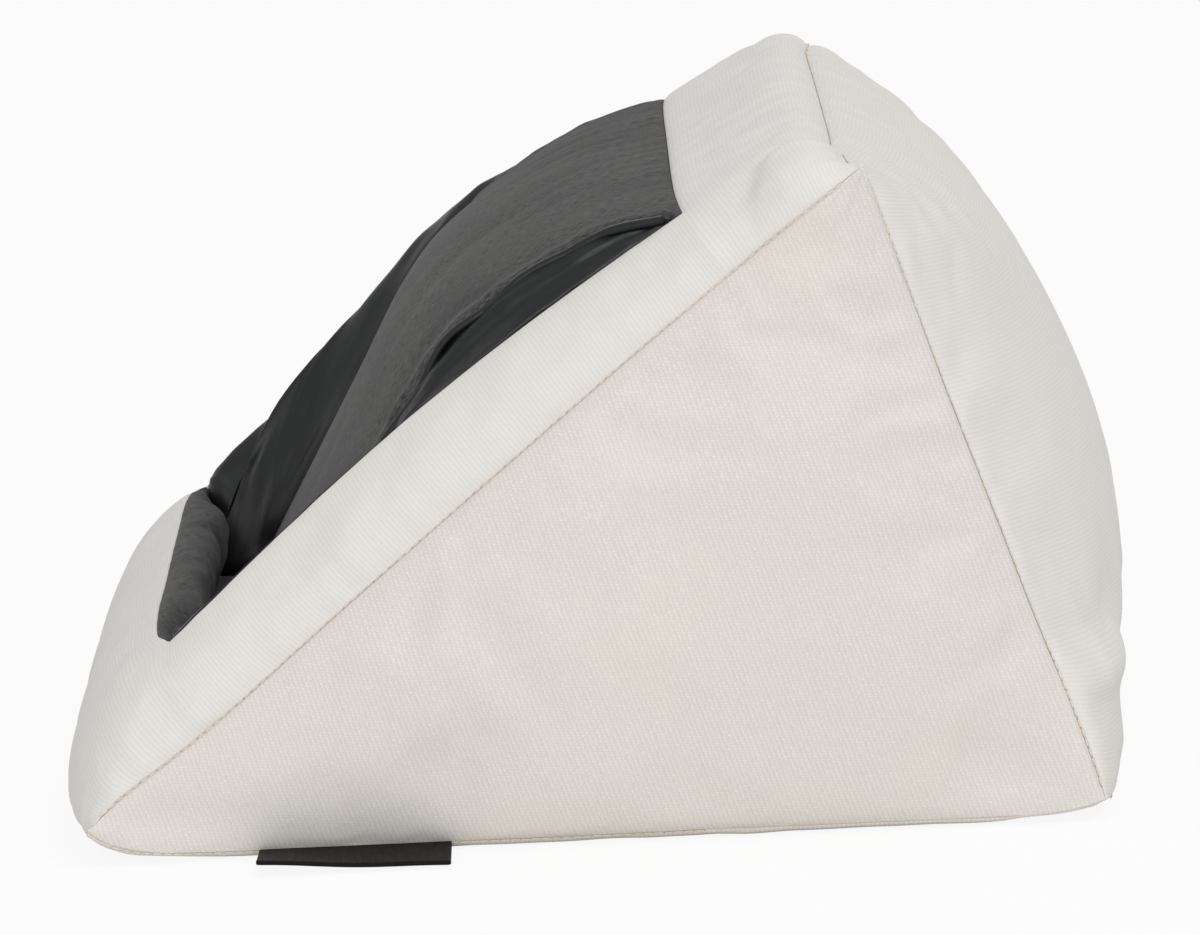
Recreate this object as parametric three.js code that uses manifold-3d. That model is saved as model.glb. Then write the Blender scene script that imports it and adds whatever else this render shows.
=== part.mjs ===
// Wedge-shaped bead cushion that holds a tablet in a lined pocket in its sloping face.
// Millimetres, Z up, the front faces -Y, the base stands on z = 0, the middle plane is x = 0.
import * as THREE from "three";
import { ParametricGeometry } from "three/addons/geometries/ParametricGeometry.js";
import { mergeGeometries, mergeVertices } from "three/addons/utils/BufferGeometryUtils.js";
import Module from "manifold-3d";

const wasm = await Module();
wasm.setup();
const { Manifold, Mesh } = wasm;

// Side outline: the three corners of the side seam, in (y, z)
const EAR_HEIGHT = 177;
const EAR_DEPTH = 72; // ears behind the middle
const FRONT_DEPTH = 139.5; // front feet before the middle
const REAR_DEPTH = 130.5; // rear feet behind the middle
const FRONT_FOOT_HEIGHT = 6;
const REAR_FOOT_HEIGHT = 5;
const FRONT_FOOT = new THREE.Vector2(-FRONT_DEPTH, FRONT_FOOT_HEIGHT);
const EAR = new THREE.Vector2(EAR_DEPTH, EAR_HEIGHT);
const REAR_FOOT = new THREE.Vector2(REAR_DEPTH, REAR_FOOT_HEIGHT);
const BASE_SEAM_HEIGHT = 1.9; // the base seam lies low between its feet
const SLOPE_BOW = 2; // the slope seam bows upwards
const FRONT_LIFT = 4; // and lifts at its front end
const FRONT_LIFT_SHARE = 0.11; // of the slope seam
const RIDGE_SETBACK = 3.5; // ridge seam before the ears

// Width and fullness of the filled cover
const SEAM_HALF_WIDTH = 153; // side seam half way along an edge
const CORNER_REACH = 7; // ears and feet stand out, so the sides look drawn in
const SIDE_CROWN = 12; // belly of a side panel
const SIDE_FULLNESS = 2.3; // how far the belly spreads towards the seams
const SIDE_ROUND = 85; // radius that the belly's rings tend to
const FACE_RISE = 31; // padding above the slope seam
const BACK_RISE = 34.5; // padding behind the back seam
const TOE_DROP = 2.5; // front and rear base seams lie under the feet
const REAR_REACH = 5.5; // rear base seam behind the rear feet

// Pocket: an opening in the face, lined behind, with a trough at its foot
const OPENING_SHARE = 0.855; // of the half width
const LIP_SETBACK = 45.7; // front edge of the opening, along the slope from the front feet
const TOP_SETBACK = 45.4; // top edge of the opening, along the slope from the ears
const POCKET_DRAW = 15; // how far the pocket narrows behind its opening
const HUMP_SETBACK = 106; // pillow that the tablet leans on
const HUMP_RISE = 34.7;
const HUMP_CROWN = 9;
const TROUGH_SINK = 4; // trough floor under the slope seam
const LIP_UNDERCUT = 11; // the trough reaches forwards under the padded lip

// Cloth, fill and label
const CLOTH = 1.5;
const SEAM_GAP = 0.32;
const CORNER_GAP = 2; // three panels that meet in a point stay clear of it
const FILL_CLEARANCE = 0.95;
const CORNER_RELIEF = 1.5; // the fill stays further back from those points
const LABEL_WIDTH = 51;
const LABEL_REACH = 27;
const LABEL_AT = -69; // middle of the label along the base seam
const LABEL_LAYER = 0.5;
const LABEL_FOLD = 0.75; // radius of the fold
const LABEL_LIFT = 0.35; // lowest edge above the table
const LABEL_CLEARANCE = 0.8;

// Zip in the foot of the back, where the fill goes in
const ZIP_HEIGHT = 18.5;
const ZIP_WINDOW = 15; // height of the opening that the tapes close
const FOOT_REACH = 7.6; // foot of the back behind the rear feet
const ZIP_REACH = 7; // zip plane behind the rear feet
const CHAIN_LENGTH = 138;
const ZIP_MARGIN = 18.2; // of the opening beyond each end of the chain
const ZIP_SHARE = (CHAIN_LENGTH / 2 + ZIP_MARGIN) / SEAM_HALF_WIDTH;
const TOOTH_PITCH = 3;
const TOOTH_WIDTH = 1.2;
const TOOTH_REACH = 1.1;
const CHAIN_DEPTH = 1.6;
const CHAIN_SLIT = 1.9; // way for the slider's neck
const RUN_CLEARANCE = 0.35;
const TAPE = 1;
const SLIDER_LENGTH = 10;
const SLIDER_WIDTH = 8.4;
const PLATE = 1.2;
const NECK = 0.9;
const ARCH_SPAN = 6.4;
const ARCH_WIDTH = 1.6;
const ARCH_BAR = 0.9;
const PULL_LENGTH = 24;
const PULL_WIDTH = 7;
const PULL_THICK = 1;

// Stations of the cloth grid
const RIM_STEPS = 4;
const MIDDLE_STEPS = 6;
const FRONT_STEPS = 7;
const BACKREST_STEPS = 8;
const LINING_STEPS = 6;
const TOP_STEPS = 5;
const BACK_STEPS = 9;
const WINDOW_STEPS = 2;
const FOOT_STEPS = 2;
const BASE_STEPS = 8;
const SIDE_RINGS = 5;
const GUSSET_STEPS = 3;
const COLUMNS = 2 * RIM_STEPS + MIDDLE_STEPS;
const SLOPE_STEPS = BACKREST_STEPS + LINING_STEPS;
const FACE_STEPS = FRONT_STEPS + SLOPE_STEPS + TOP_STEPS;
const REAR_STEPS = BACK_STEPS + WINDOW_STEPS + FOOT_STEPS;
const LOOP_STEPS = FACE_STEPS + REAR_STEPS + BASE_STEPS;

const mix = THREE.MathUtils.lerp;
const smooth = THREE.MathUtils.smoothstep;

// Seam edges and a frame along the slope and the back: (along, rise) in millimetres
const edgeFrame = (from, to) => {
  const along = to.clone().sub(from);
  const length = along.length();
  along.normalize();
  const up = new THREE.Vector2(-along.y, along.x);
  if (up.y < 0) up.negate();
  const at = (a, r) => from.clone().addScaledVector(along, a).addScaledVector(up, r);
  return { length, at };
};
const slope = edgeFrame(FRONT_FOOT, EAR);
const back = edgeFrame(EAR, REAR_FOOT);
const bow = (t) => 4 * t * (1 - t);
const seamReach = (t) => SEAM_HALF_WIDTH + CORNER_REACH * (2 * t - 1) ** 4;
const frontLift = (t) => FRONT_LIFT * Math.exp(-((t / FRONT_LIFT_SHARE) ** 2));
const slopeSeam = (t) => slope.at(t * slope.length, SLOPE_BOW * bow(t) + frontLift(t));
const backSeam = (t) => back.at(t * back.length, 0);
const frontCorner = slopeSeam(0);
const baseSeam = (t) => {
  const p = REAR_FOOT.clone().lerp(frontCorner, t);
  p.y = mix(BASE_SEAM_HEIGHT, p.y, (2 * t - 1) ** 16);
  return p;
};

// Middle profiles; a station is the number of the point, with fractions between
const profile = (points) => {
  const bent = points.map((p) => new THREE.Vector3(0, p.x, p.y));
  const curve = new THREE.CatmullRomCurve3(bent, false, "centripetal");
  return (k) => {
    const p = curve.getPoint(k / (points.length - 1));
    return new THREE.Vector2(p.y, p.z);
  };
};
const shifted = (p, dy, dz) => p.clone().add(new THREE.Vector2(dy, dz));
const L = slope.length;
const frontSeam = shifted(FRONT_FOOT, -1, -TOE_DROP);
const rearSeam = shifted(REAR_FOOT, REAR_REACH, -TOE_DROP + 1);
const ridge = slope.at(L - RIDGE_SETBACK, 0.15 * FACE_RISE);
const lipEdge = slope.at(LIP_SETBACK, 0.9 * FACE_RISE);
const topEdge = slope.at(L - TOP_SETBACK, 0.73 * FACE_RISE);
const LIP_AT = 4;
const TOP_AT = 6;
const facePoints = [
  frontSeam,
  slope.at(-1, 0.4 * FACE_RISE),
  slope.at(0.29 * LIP_SETBACK, 0.81 * FACE_RISE),
  slope.at(0.67 * LIP_SETBACK, FACE_RISE),
  lipEdge,
  slope.at(0.5 * (LIP_SETBACK + L - TOP_SETBACK), FACE_RISE),
  topEdge,
  slope.at(L - 0.52 * TOP_SETBACK, 0.55 * FACE_RISE),
  slope.at(L - 0.18 * TOP_SETBACK, 0.45 * FACE_RISE),
  ridge,
];
const faceMiddle = profile(facePoints);
const zipPlane = REAR_FOOT.x + ZIP_REACH;
const footPlane = REAR_FOOT.x + FOOT_REACH;
const WINDOW_AT = 7;
const backPoints = [
  ridge,
  back.at(0.05 * back.length, 0.23 * BACK_RISE),
  back.at(0.195 * back.length, 0.65 * BACK_RISE),
  back.at(0.385 * back.length, 0.945 * BACK_RISE),
  back.at(0.57 * back.length, BACK_RISE),
  back.at(0.75 * back.length, 0.88 * BACK_RISE),
  back.at(0.845 * back.length, 0.75 * BACK_RISE),
  new THREE.Vector2(footPlane, ZIP_HEIGHT + ZIP_WINDOW / 2),
  new THREE.Vector2(footPlane, ZIP_HEIGHT - ZIP_WINDOW / 2),
  rearSeam,
];
const backMiddle = profile(backPoints);
const CURL = 8; // the base panel curls up to its seams over this distance
const baseRow = (i) => mix(rearSeam.x - CURL, frontSeam.x + CURL, (i - 1) / (BASE_STEPS - 2));
const baseShare = (i) => {
  if (i === 0 || i === BASE_STEPS) return i / BASE_STEPS;
  return THREE.MathUtils.clamp((REAR_FOOT.x - baseRow(i)) / (REAR_FOOT.x - FRONT_FOOT.x), 0.02, 0.98);
};

// Stations along each panel
const faceStation = (i) => {
  if (i <= FRONT_STEPS) return (LIP_AT * i) / FRONT_STEPS;
  if (i <= FRONT_STEPS + SLOPE_STEPS) return mix(LIP_AT, TOP_AT, (i - FRONT_STEPS) / SLOPE_STEPS);
  return mix(TOP_AT, facePoints.length - 1, (i - FRONT_STEPS - SLOPE_STEPS) / TOP_STEPS);
};
const backStation = (i) => {
  if (i <= BACK_STEPS) return (WINDOW_AT * i) / BACK_STEPS;
  if (i <= BACK_STEPS + WINDOW_STEPS) return WINDOW_AT + (i - BACK_STEPS) / WINDOW_STEPS;
  return WINDOW_AT + 1 + (i - BACK_STEPS - WINDOW_STEPS) / FOOT_STEPS;
};
const slopeShare = (k) => {
  if (k <= LIP_AT) return (LIP_SETBACK / L) * (k / LIP_AT);
  if (k <= TOP_AT) return mix(LIP_SETBACK, L - TOP_SETBACK, (k - LIP_AT) / (TOP_AT - LIP_AT)) / L;
  return mix(1 - TOP_SETBACK / L, 1, (k - TOP_AT) / (facePoints.length - 1 - TOP_AT));
};
const backShare = (k) => {
  const top = (back.at(0, 0).y - backMiddle(k).y) / (EAR.y - REAR_FOOT.y);
  return k === backPoints.length - 1 ? 1 : THREE.MathUtils.clamp(top * 0.97, 0, 1);
};
const seamPoint = (k) => {
  if (k <= FACE_STEPS) return onSeam(slopeSeam, slopeShare(faceStation(k)));
  if (k <= FACE_STEPS + REAR_STEPS) return onSeam(backSeam, backShare(backStation(k - FACE_STEPS)));
  return onSeam(baseSeam, baseShare(k - FACE_STEPS - REAR_STEPS));
};
const onSeam = (seam, t) => {
  const p = seam(t);
  return new THREE.Vector3(seamReach(t), p.x, p.y);
};
const ZIP_COLUMN = 2;
const middleShare = (i) => {
  const far = MIDDLE_STEPS / 2 - 1;
  const n = Math.abs(i);
  return n <= far ? (ZIP_SHARE * n) / far : OPENING_SHARE;
};
const column = (j) => {
  const n = j - COLUMNS / 2;
  const beyond = Math.abs(n) - MIDDLE_STEPS / 2;
  if (beyond <= 0) return Math.sign(n) * middleShare(n);
  const turn = Math.sin((Math.PI / 2) * (beyond / RIM_STEPS));
  return Math.sign(n) * mix(OPENING_SHARE, 1, beyond === RIM_STEPS ? 1 : turn);
};

// Fullness across the width: 1 in the middle, 0 on the seams
const fullness = (v, [p, q]) => Math.max(0, 1 - Math.abs(v) ** p) ** q;
const blend = (a, b, t) => [mix(a[0], b[0], t), mix(a[1], b[1], t)];
const AT_RIDGE = [7, 0.5];
const AT_FACE = [8, 0.5];
const AT_FRONT = [5, 0.55];
const AT_BACK = [2.4, 0.9];
const AT_REAR = [5, 0.55];
const AT_BASE = [30, 0.5];
const acrossBand = (seam, middle, v, shape) => {
  const f = fullness(v, shape);
  return new THREE.Vector3(v * seam.x, mix(seam.y, middle.x, f), mix(seam.z, middle.y, f));
};
const facePoint = (i, j) => {
  const k = faceStation(i);
  const front = blend(AT_FRONT, AT_FACE, Math.min(1, k / LIP_AT));
  const shape = blend(front, AT_RIDGE, smooth(k, TOP_AT, facePoints.length - 1));
  return acrossBand(seamPoint(i), faceMiddle(k), column(j), shape);
};
const backPoint = (i, j) => {
  const k = backStation(i);
  const v = column(j);
  const upper = blend(AT_RIDGE, AT_BACK, smooth(k, 0, 3));
  const shape = blend(upper, AT_REAR, smooth(k, 5, backPoints.length - 1));
  const p = acrossBand(seamPoint(FACE_STEPS + i), backMiddle(k), v, shape);
  const level = smooth(k, WINDOW_AT - 1.2, WINDOW_AT) * (1 - smooth(k, WINDOW_AT + 1, WINDOW_AT + 2));
  const flat = level * (1 - smooth(Math.abs(v), ZIP_SHARE + 0.02, 0.7));
  p.y = mix(p.y, zipPlane, flat);
  p.z = mix(p.z, backMiddle(k).y, flat);
  return p;
};
const basePoint = (i, j) => {
  if (i === 0) return backPoint(REAR_STEPS, j);
  if (i === BASE_STEPS) return facePoint(0, j);
  const middle = new THREE.Vector2(baseRow(i), 0);
  const p = acrossBand(seamPoint(FACE_STEPS + REAR_STEPS + i), middle, column(j), AT_BASE);
  if (p.z < 0.05) p.z = 0;
  return p;
};

// Side panel: rings that shrink from the seam to the middle of the triangle, with a smooth belly
const corners = [FRONT_FOOT, EAR, REAR_FOOT].map((c) => new THREE.Vector3(c.x, c.y, 0));
const sideTriangle = new THREE.Triangle(...corners);
const centre = FRONT_FOOT.clone().add(EAR).add(REAR_FOOT).divideScalar(3);
const sideReach = (p) => {
  const share = sideTriangle.getBarycoord(new THREE.Vector3(p.x, p.y, 0), new THREE.Vector3());
  share.clampScalar(0, 1);
  const middle = 27 * share.x * share.y * share.z; // 1 in the middle, 0 on the seams
  const corner = Math.max(0, 2 * share.lengthSq() - 1); // 1 at the corners, 0 half way along the seams
  const belly = SIDE_CROWN * (1 - Math.max(0, 1 - middle) ** SIDE_FULLNESS);
  return SEAM_HALF_WIDTH + CORNER_REACH * corner ** 2 + belly;
};
const sidePoint = (hand) => (i, j) => {
  const seam = seamPoint(i % LOOP_STEPS);
  const r = 1 - j / SIDE_RINGS;
  const ring = Math.sin((Math.PI / 2) * r) ** 0.8;
  const arm = new THREE.Vector2(seam.y, seam.z).sub(centre);
  const round = arm.clone().setLength(SIDE_ROUND); // the inner rings are round
  const p = round.lerp(arm, ring).multiplyScalar(ring).add(centre);
  const reach = mix(sideReach(p), seam.x, ring ** 12);
  return new THREE.Vector3(hand * reach, p.x, p.y);
};

// Pocket lining: its edge path runs down the backrest, over the trough and up to the lip
const backrestPoints = [
  topEdge,
  slope.at(L - 0.63 * HUMP_SETBACK, 0.88 * HUMP_RISE),
  slope.at(L - HUMP_SETBACK, HUMP_RISE),
  slope.at(L - 1.17 * HUMP_SETBACK, 0.93 * HUMP_RISE),
  slope.at(mix(LIP_SETBACK, L - HUMP_SETBACK, 0.6), 0.63 * HUMP_RISE),
  slope.at(mix(LIP_SETBACK, L - HUMP_SETBACK, 0.09), 0),
  slope.at(LIP_SETBACK - 2, -TROUGH_SINK),
];
const troughRear = backrestPoints[backrestPoints.length - 1];
const liningPoints = [
  troughRear,
  slope.at(LIP_SETBACK - LIP_UNDERCUT, 0.12 * FACE_RISE),
  slope.at(LIP_SETBACK - 0.4 * LIP_UNDERCUT, 0.31 * FACE_RISE),
  slope.at(LIP_SETBACK + 0.45 * LIP_UNDERCUT, 0.49 * FACE_RISE),
  slope.at(LIP_SETBACK + 0.75 * LIP_UNDERCUT, 0.67 * FACE_RISE),
  slope.at(LIP_SETBACK + 0.55 * LIP_UNDERCUT, 0.83 * FACE_RISE),
  lipEdge,
];
const backrestPath = profile(backrestPoints);
const liningPath = profile(liningPoints);
const pocketRow = (i) => FRONT_STEPS + SLOPE_STEPS - i; // row of the face grid beside it
const pocketPoint = (i, j) => {
  if (i === 0) return facePoint(pocketRow(0), j + RIM_STEPS);
  if (i === SLOPE_STEPS) return facePoint(FRONT_STEPS, j + RIM_STEPS);
  const v = column(j + RIM_STEPS) / OPENING_SHARE;
  const w = i / SLOPE_STEPS;
  const onBackrest = i <= BACKREST_STEPS;
  const b = i / BACKREST_STEPS;
  const p = onBackrest
    ? backrestPath(b * (backrestPoints.length - 1))
    : liningPath(((i - BACKREST_STEPS) / LINING_STEPS) * (liningPoints.length - 1));
  const half = SEAM_HALF_WIDTH * OPENING_SHARE - POCKET_DRAW * Math.sin(Math.PI * w) ** 0.8;
  const crown = onBackrest ? HUMP_CROWN * Math.sin(Math.PI * b) ** 1.2 * (1 - v * v) : 0;
  const raised = slope.at(0, crown).sub(FRONT_FOOT);
  return new THREE.Vector3(v * half, p.x + raised.x, p.y + raised.y);
};
const gussetPoint = (hand) => (i, j) => {
  const last = hand > 0 ? MIDDLE_STEPS : 0;
  const rim = facePoint(pocketRow(i), last + RIM_STEPS);
  if (i === 0 || i === SLOPE_STEPS) return rim;
  return rim.lerp(pocketPoint(i, last), j / GUSSET_STEPS);
};

// Cloth: points and triangles of one panel, from a grid of stations
const grid = (point, from, to, flip = false) => {
  const wide = to[1] - from[1];
  const tall = to[0] - from[0];
  const at = (s, t, target) => {
    target.copy(point(from[0] + Math.round(t * tall), from[1] + Math.round(s * wide)));
  };
  const g = new ParametricGeometry(at, wide, tall);
  g.deleteAttribute("uv");
  g.deleteAttribute("normal");
  if (flip) g.index.array.reverse();
  return g;
};
const cloth = (pieces) => {
  const g = mergeVertices(mergeGeometries(pieces), 1e-4);
  const points = [];
  for (let i = 0; i < g.attributes.position.count; i += 1) {
    points.push(new THREE.Vector3().fromBufferAttribute(g.attributes.position, i));
  }
  const faces = [];
  for (let i = 0; i < g.index.count; i += 3) {
    const f = [0, 1, 2].map((n) => g.index.getX(i + n));
    if (new Set(f).size === 3) faces.push(f);
  }
  return { points, faces, normals: pointNormals(points, faces) };
};
const faceNormal = (points, [a, b, c]) => {
  const ab = points[b].clone().sub(points[a]);
  return ab.cross(points[c].clone().sub(points[a]));
};
const pointNormals = (points, faces) => {
  const normals = points.map(() => new THREE.Vector3());
  for (const f of faces) {
    const n = faceNormal(points, f);
    for (const k of f) normals[k].add(n);
  }
  return normals.map((n) => n.normalize());
};
const framed = (point, rows, hole, flip) => {
  const strips = [
    grid(point, [0, 0], [hole.from, COLUMNS], flip),
    grid(point, [hole.from, 0], [hole.to, hole.left], flip),
    grid(point, [hole.from, hole.right], [hole.to, COLUMNS], flip),
    grid(point, [hole.to, 0], [rows, COLUMNS], flip),
  ];
  return cloth(strips);
};

// Sewing: where panels meet, their thickness is mitred along one shared direction
const spot = (p) => [p.x, p.y, p.z].map((c) => Math.round(c * 200)).join(",");
const sew = (cloths) => {
  const met = new Map();
  for (const c of cloths) {
    c.points.forEach((p, k) => {
      const key = spot(p);
      if (!met.has(key)) met.set(key, []);
      met.get(key).push(c.normals[k]);
    });
  }
  const seams = new Map();
  for (const [key, normals] of met) {
    const sum = normals.reduce((a, n) => a.add(n), new THREE.Vector3()).normalize();
    const least = Math.min(...normals.map((n) => n.dot(sum)));
    const inward = sum.multiplyScalar(-1 / Math.max(0.6, least));
    const corner = normals.length > 2;
    seams.set(key, { inward, gap: corner ? CORNER_GAP : SEAM_GAP / 2, relief: corner ? CORNER_RELIEF : 1 });
  }
  return seams;
};
const hems = ({ points, faces }) => {
  const used = new Set(faces.flatMap(([a, b, c]) => [`${a},${b}`, `${b},${c}`, `${c},${a}`]));
  const edges = [];
  const drawn = new Map();
  for (const f of faces) {
    const n = faceNormal(points, f).normalize();
    f.forEach((a, k) => {
      const b = f[(k + 1) % 3];
      if (used.has(`${b},${a}`)) return;
      edges.push([a, b]);
      const in_ = n.clone().cross(points[b].clone().sub(points[a]).normalize());
      for (const e of [a, b]) drawn.set(e, (drawn.get(e) ?? new THREE.Vector3()).add(in_));
    });
  }
  for (const d of drawn.values()) d.normalize();
  return { edges, drawn };
};
const geometryOf = (points, faces) => {
  const g = new THREE.BufferGeometry().setFromPoints(points);
  g.setIndex(faces.flat());
  return g;
};
const panelSolid = (piece, seams, depth) => {
  const { edges, drawn } = hems(piece);
  const count = piece.points.length;
  const keys = piece.points.map(spot);
  const pulled = (p, k) => {
    return drawn.has(k) ? p.addScaledVector(drawn.get(k), seams.get(keys[k]).gap) : p;
  };
  const outer = piece.points.map((p, k) => pulled(p.clone(), k));
  const inner = piece.points.map((p, k) => {
    return pulled(p.clone().addScaledVector(seams.get(keys[k]).inward, depth), k);
  });
  const faces = [...piece.faces];
  for (const [a, b, c] of piece.faces) faces.push([c + count, b + count, a + count]);
  for (const [a, b] of edges) {
    const wall = [b, a, a + count, b + count];
    const turn = keys[a] < keys[b] ? 1 : 0; // both panels split their shared wall alike
    const [p, q, r, s] = [0, 1, 2, 3].map((n) => wall[(n + turn) % 4]);
    faces.push([p, q, r], [p, r, s]);
  }
  return geometryOf([...outer, ...inner], faces);
};
const fillSolid = (cloths, seams, depth) => {
  const places = new Map();
  const points = [];
  const faces = [];
  for (const c of cloths) {
    const own = c.points.map((p) => {
      const key = spot(p);
      if (!places.has(key)) {
        places.set(key, points.length);
        const { inward, relief } = seams.get(key);
        points.push(p.clone().addScaledVector(inward, depth * relief));
      }
      return places.get(key);
    });
    for (const f of c.faces) faces.push(f.map((k) => own[k]));
  }
  return geometryOf(points, faces);
};

// Panels of the cover and of the pocket
const openingHole = {
  from: FRONT_STEPS,
  to: FRONT_STEPS + SLOPE_STEPS,
  left: RIM_STEPS,
  right: RIM_STEPS + MIDDLE_STEPS,
};
const zipHole = {
  from: BACK_STEPS,
  to: BACK_STEPS + WINDOW_STEPS,
  left: COLUMNS / 2 - ZIP_COLUMN,
  right: COLUMNS / 2 + ZIP_COLUMN,
};
const ZIP_ARCH = 6; // the fill arches over the zip
const zipRoof = (i, j) => {
  const p = backPoint(i, j);
  const inside = i > zipHole.from && i < zipHole.to && j > zipHole.left && j < zipHole.right;
  if (inside) p.y -= ZIP_ARCH;
  return p;
};
const cloths = {
  face_panel: framed(facePoint, FACE_STEPS, openingHole, false),
  back_panel: framed(backPoint, REAR_STEPS, zipHole, false),
  base_panel: cloth([grid(basePoint, [0, 0], [BASE_STEPS, COLUMNS])]),
  side_panel_left: cloth([grid(sidePoint(1), [0, 0], [LOOP_STEPS, SIDE_RINGS])]),
  side_panel_right: cloth([grid(sidePoint(-1), [0, 0], [LOOP_STEPS, SIDE_RINGS], true)]),
  pocket_backrest: cloth([grid(pocketPoint, [0, 0], [BACKREST_STEPS, MIDDLE_STEPS], true)]),
  pocket_lip_lining: cloth([grid(pocketPoint, [BACKREST_STEPS, 0], [SLOPE_STEPS, MIDDLE_STEPS], true)]),
  pocket_gusset_left: cloth([grid(gussetPoint(1), [0, 0], [SLOPE_STEPS, GUSSET_STEPS])]),
  pocket_gusset_right: cloth([grid(gussetPoint(-1), [0, 0], [SLOPE_STEPS, GUSSET_STEPS], true)]),
};
const roof = cloth([grid(zipRoof, [zipHole.from, zipHole.left], [zipHole.to, zipHole.right])]);
const skin = [...Object.values(cloths), roof];
const seams = sew(skin);

// Joining and cutting
const toManifold = (geometry) => {
  const g = mergeVertices(geometry.clone().deleteAttribute("normal").deleteAttribute("uv"), 1e-4);
  const mesh = new Mesh({
    numProp: 3,
    vertProperties: new Float32Array(g.attributes.position.array),
    triVerts: new Uint32Array(g.index.array),
  });
  return new Manifold(mesh);
};
const fromManifold = (solid) => {
  const mesh = solid.getMesh();
  const g = new THREE.BufferGeometry();
  g.setAttribute("position", new THREE.BufferAttribute(new Float32Array(mesh.vertProperties), 3));
  g.setIndex([...mesh.triVerts]);
  return g;
};
const joined = (pieces) => fromManifold(Manifold.union(pieces.map(toManifold)));

// Label: a ribbon folded in half, its ends caught in the base seam
const labelGeometry = () => {
  const run = LABEL_REACH - LABEL_FOLD;
  const high = 2 * LABEL_FOLD;
  const s = new THREE.Shape();
  s.moveTo(0, 0);
  s.lineTo(run, 0);
  s.absarc(run, LABEL_FOLD, LABEL_FOLD, -Math.PI / 2, Math.PI / 2, false);
  s.lineTo(0, high);
  s.lineTo(0, high - LABEL_LAYER);
  s.lineTo(run, high - LABEL_LAYER);
  s.absarc(run, LABEL_FOLD, LABEL_FOLD - LABEL_LAYER, Math.PI / 2, -Math.PI / 2, true);
  s.lineTo(0, LABEL_LAYER);
  const g = new THREE.ExtrudeGeometry(s, { depth: LABEL_WIDTH, bevelEnabled: false, curveSegments: 5 });
  g.translate(0, 0, -LABEL_WIDTH / 2);
  g.rotateX(Math.PI / 2);
  const t = THREE.MathUtils.clamp((REAR_FOOT.x - LABEL_AT) / (REAR_FOOT.x - FRONT_FOOT.x), 0, 1);
  const seam = onSeam(baseSeam, t);
  const near = onSeam(baseSeam, t + LABEL_WIDTH / 2 / (REAR_FOOT.x - FRONT_FOOT.x));
  const drop = seam.z - LABEL_FOLD - LABEL_LIFT;
  g.rotateY(Math.atan2(drop, LABEL_REACH));
  g.translate(Math.max(seam.x, near.x) + LABEL_CLEARANCE, LABEL_AT, seam.z - LABEL_FOLD);
  return g;
};

// Zip, in its own place: x along the chain, y out of the cloth, z across the chain
const chainStart = -CHAIN_LENGTH / 2;
const chainGeometry = (hand) => {
  const teeth = Math.floor(CHAIN_LENGTH / TOOTH_PITCH);
  const tip = CHAIN_SLIT / 2;
  const root = tip + TOOTH_REACH;
  const spine = root + 1.1;
  const lag = hand > 0 ? 0 : TOOTH_PITCH / 2;
  const s = new THREE.Shape();
  s.moveTo(chainStart, spine);
  s.lineTo(chainStart, root);
  for (let k = 0; k < teeth; k += 1) {
    const x = chainStart + lag + k * TOOTH_PITCH + 0.15;
    s.lineTo(x, root);
    s.lineTo(x + 0.2 * TOOTH_WIDTH, tip);
    s.lineTo(x + 0.8 * TOOTH_WIDTH, tip);
    s.lineTo(x + TOOTH_WIDTH, root);
  }
  s.lineTo(-chainStart, root);
  s.lineTo(-chainStart, spine);
  const g = new THREE.ExtrudeGeometry(s, { depth: CHAIN_DEPTH, bevelEnabled: false });
  g.rotateX(Math.PI / 2);
  if (hand > 0) g.translate(0, CHAIN_DEPTH, 0);
  else g.rotateX(Math.PI);
  return g;
};
const tapeLength = CHAIN_LENGTH + 2 * ZIP_MARGIN - 2;
const tapeGeometry = (hand) => {
  const inside = CHAIN_SLIT / 2;
  const outside = ZIP_WINDOW / 2 - SEAM_GAP - 0.2;
  const g = new THREE.BoxGeometry(tapeLength, TAPE, outside - inside);
  g.translate(0, -RUN_CLEARANCE - TAPE / 2, (hand * (inside + outside)) / 2);
  return g;
};
const STOP_LENGTH = 2.6;
const STOP_HEIGHT = 6.4;
const stopGeometry = (hand) => {
  const g = new THREE.BoxGeometry(STOP_LENGTH, CHAIN_DEPTH, STOP_HEIGHT);
  g.translate(hand * (CHAIN_LENGTH / 2 + SEAM_GAP + STOP_LENGTH / 2), CHAIN_DEPTH / 2, 0);
  return g;
};
const plate = (length, width, thick, low) => {
  const s = new THREE.Shape();
  const nose = width * 0.32;
  s.moveTo(-length / 2, -width / 2 + 1);
  s.lineTo(length / 2 - nose, -width / 2);
  s.absarc(length / 2 - nose, -width / 2 + nose, nose, -Math.PI / 2, 0, false);
  s.absarc(length / 2 - nose, width / 2 - nose, nose, 0, Math.PI / 2, false);
  s.lineTo(-length / 2, width / 2 - 1);
  const g = new THREE.ExtrudeGeometry(s, { depth: thick, bevelEnabled: false, curveSegments: 4 });
  g.rotateX(Math.PI / 2);
  g.translate(0, low + thick, 0);
  return g;
};
const outerLow = CHAIN_DEPTH + RUN_CLEARANCE;
const outerTop = outerLow + PLATE;
const innerTop = -RUN_CLEARANCE - TAPE - RUN_CLEARANCE;
const hingeHeight = outerTop + RUN_CLEARANCE + PULL_THICK / 2;
const archInside = hingeHeight + PULL_THICK / 2 + RUN_CLEARANCE;
const SLIDER_AT = CHAIN_LENGTH / 2 - SLIDER_LENGTH / 2 - 1;
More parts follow.
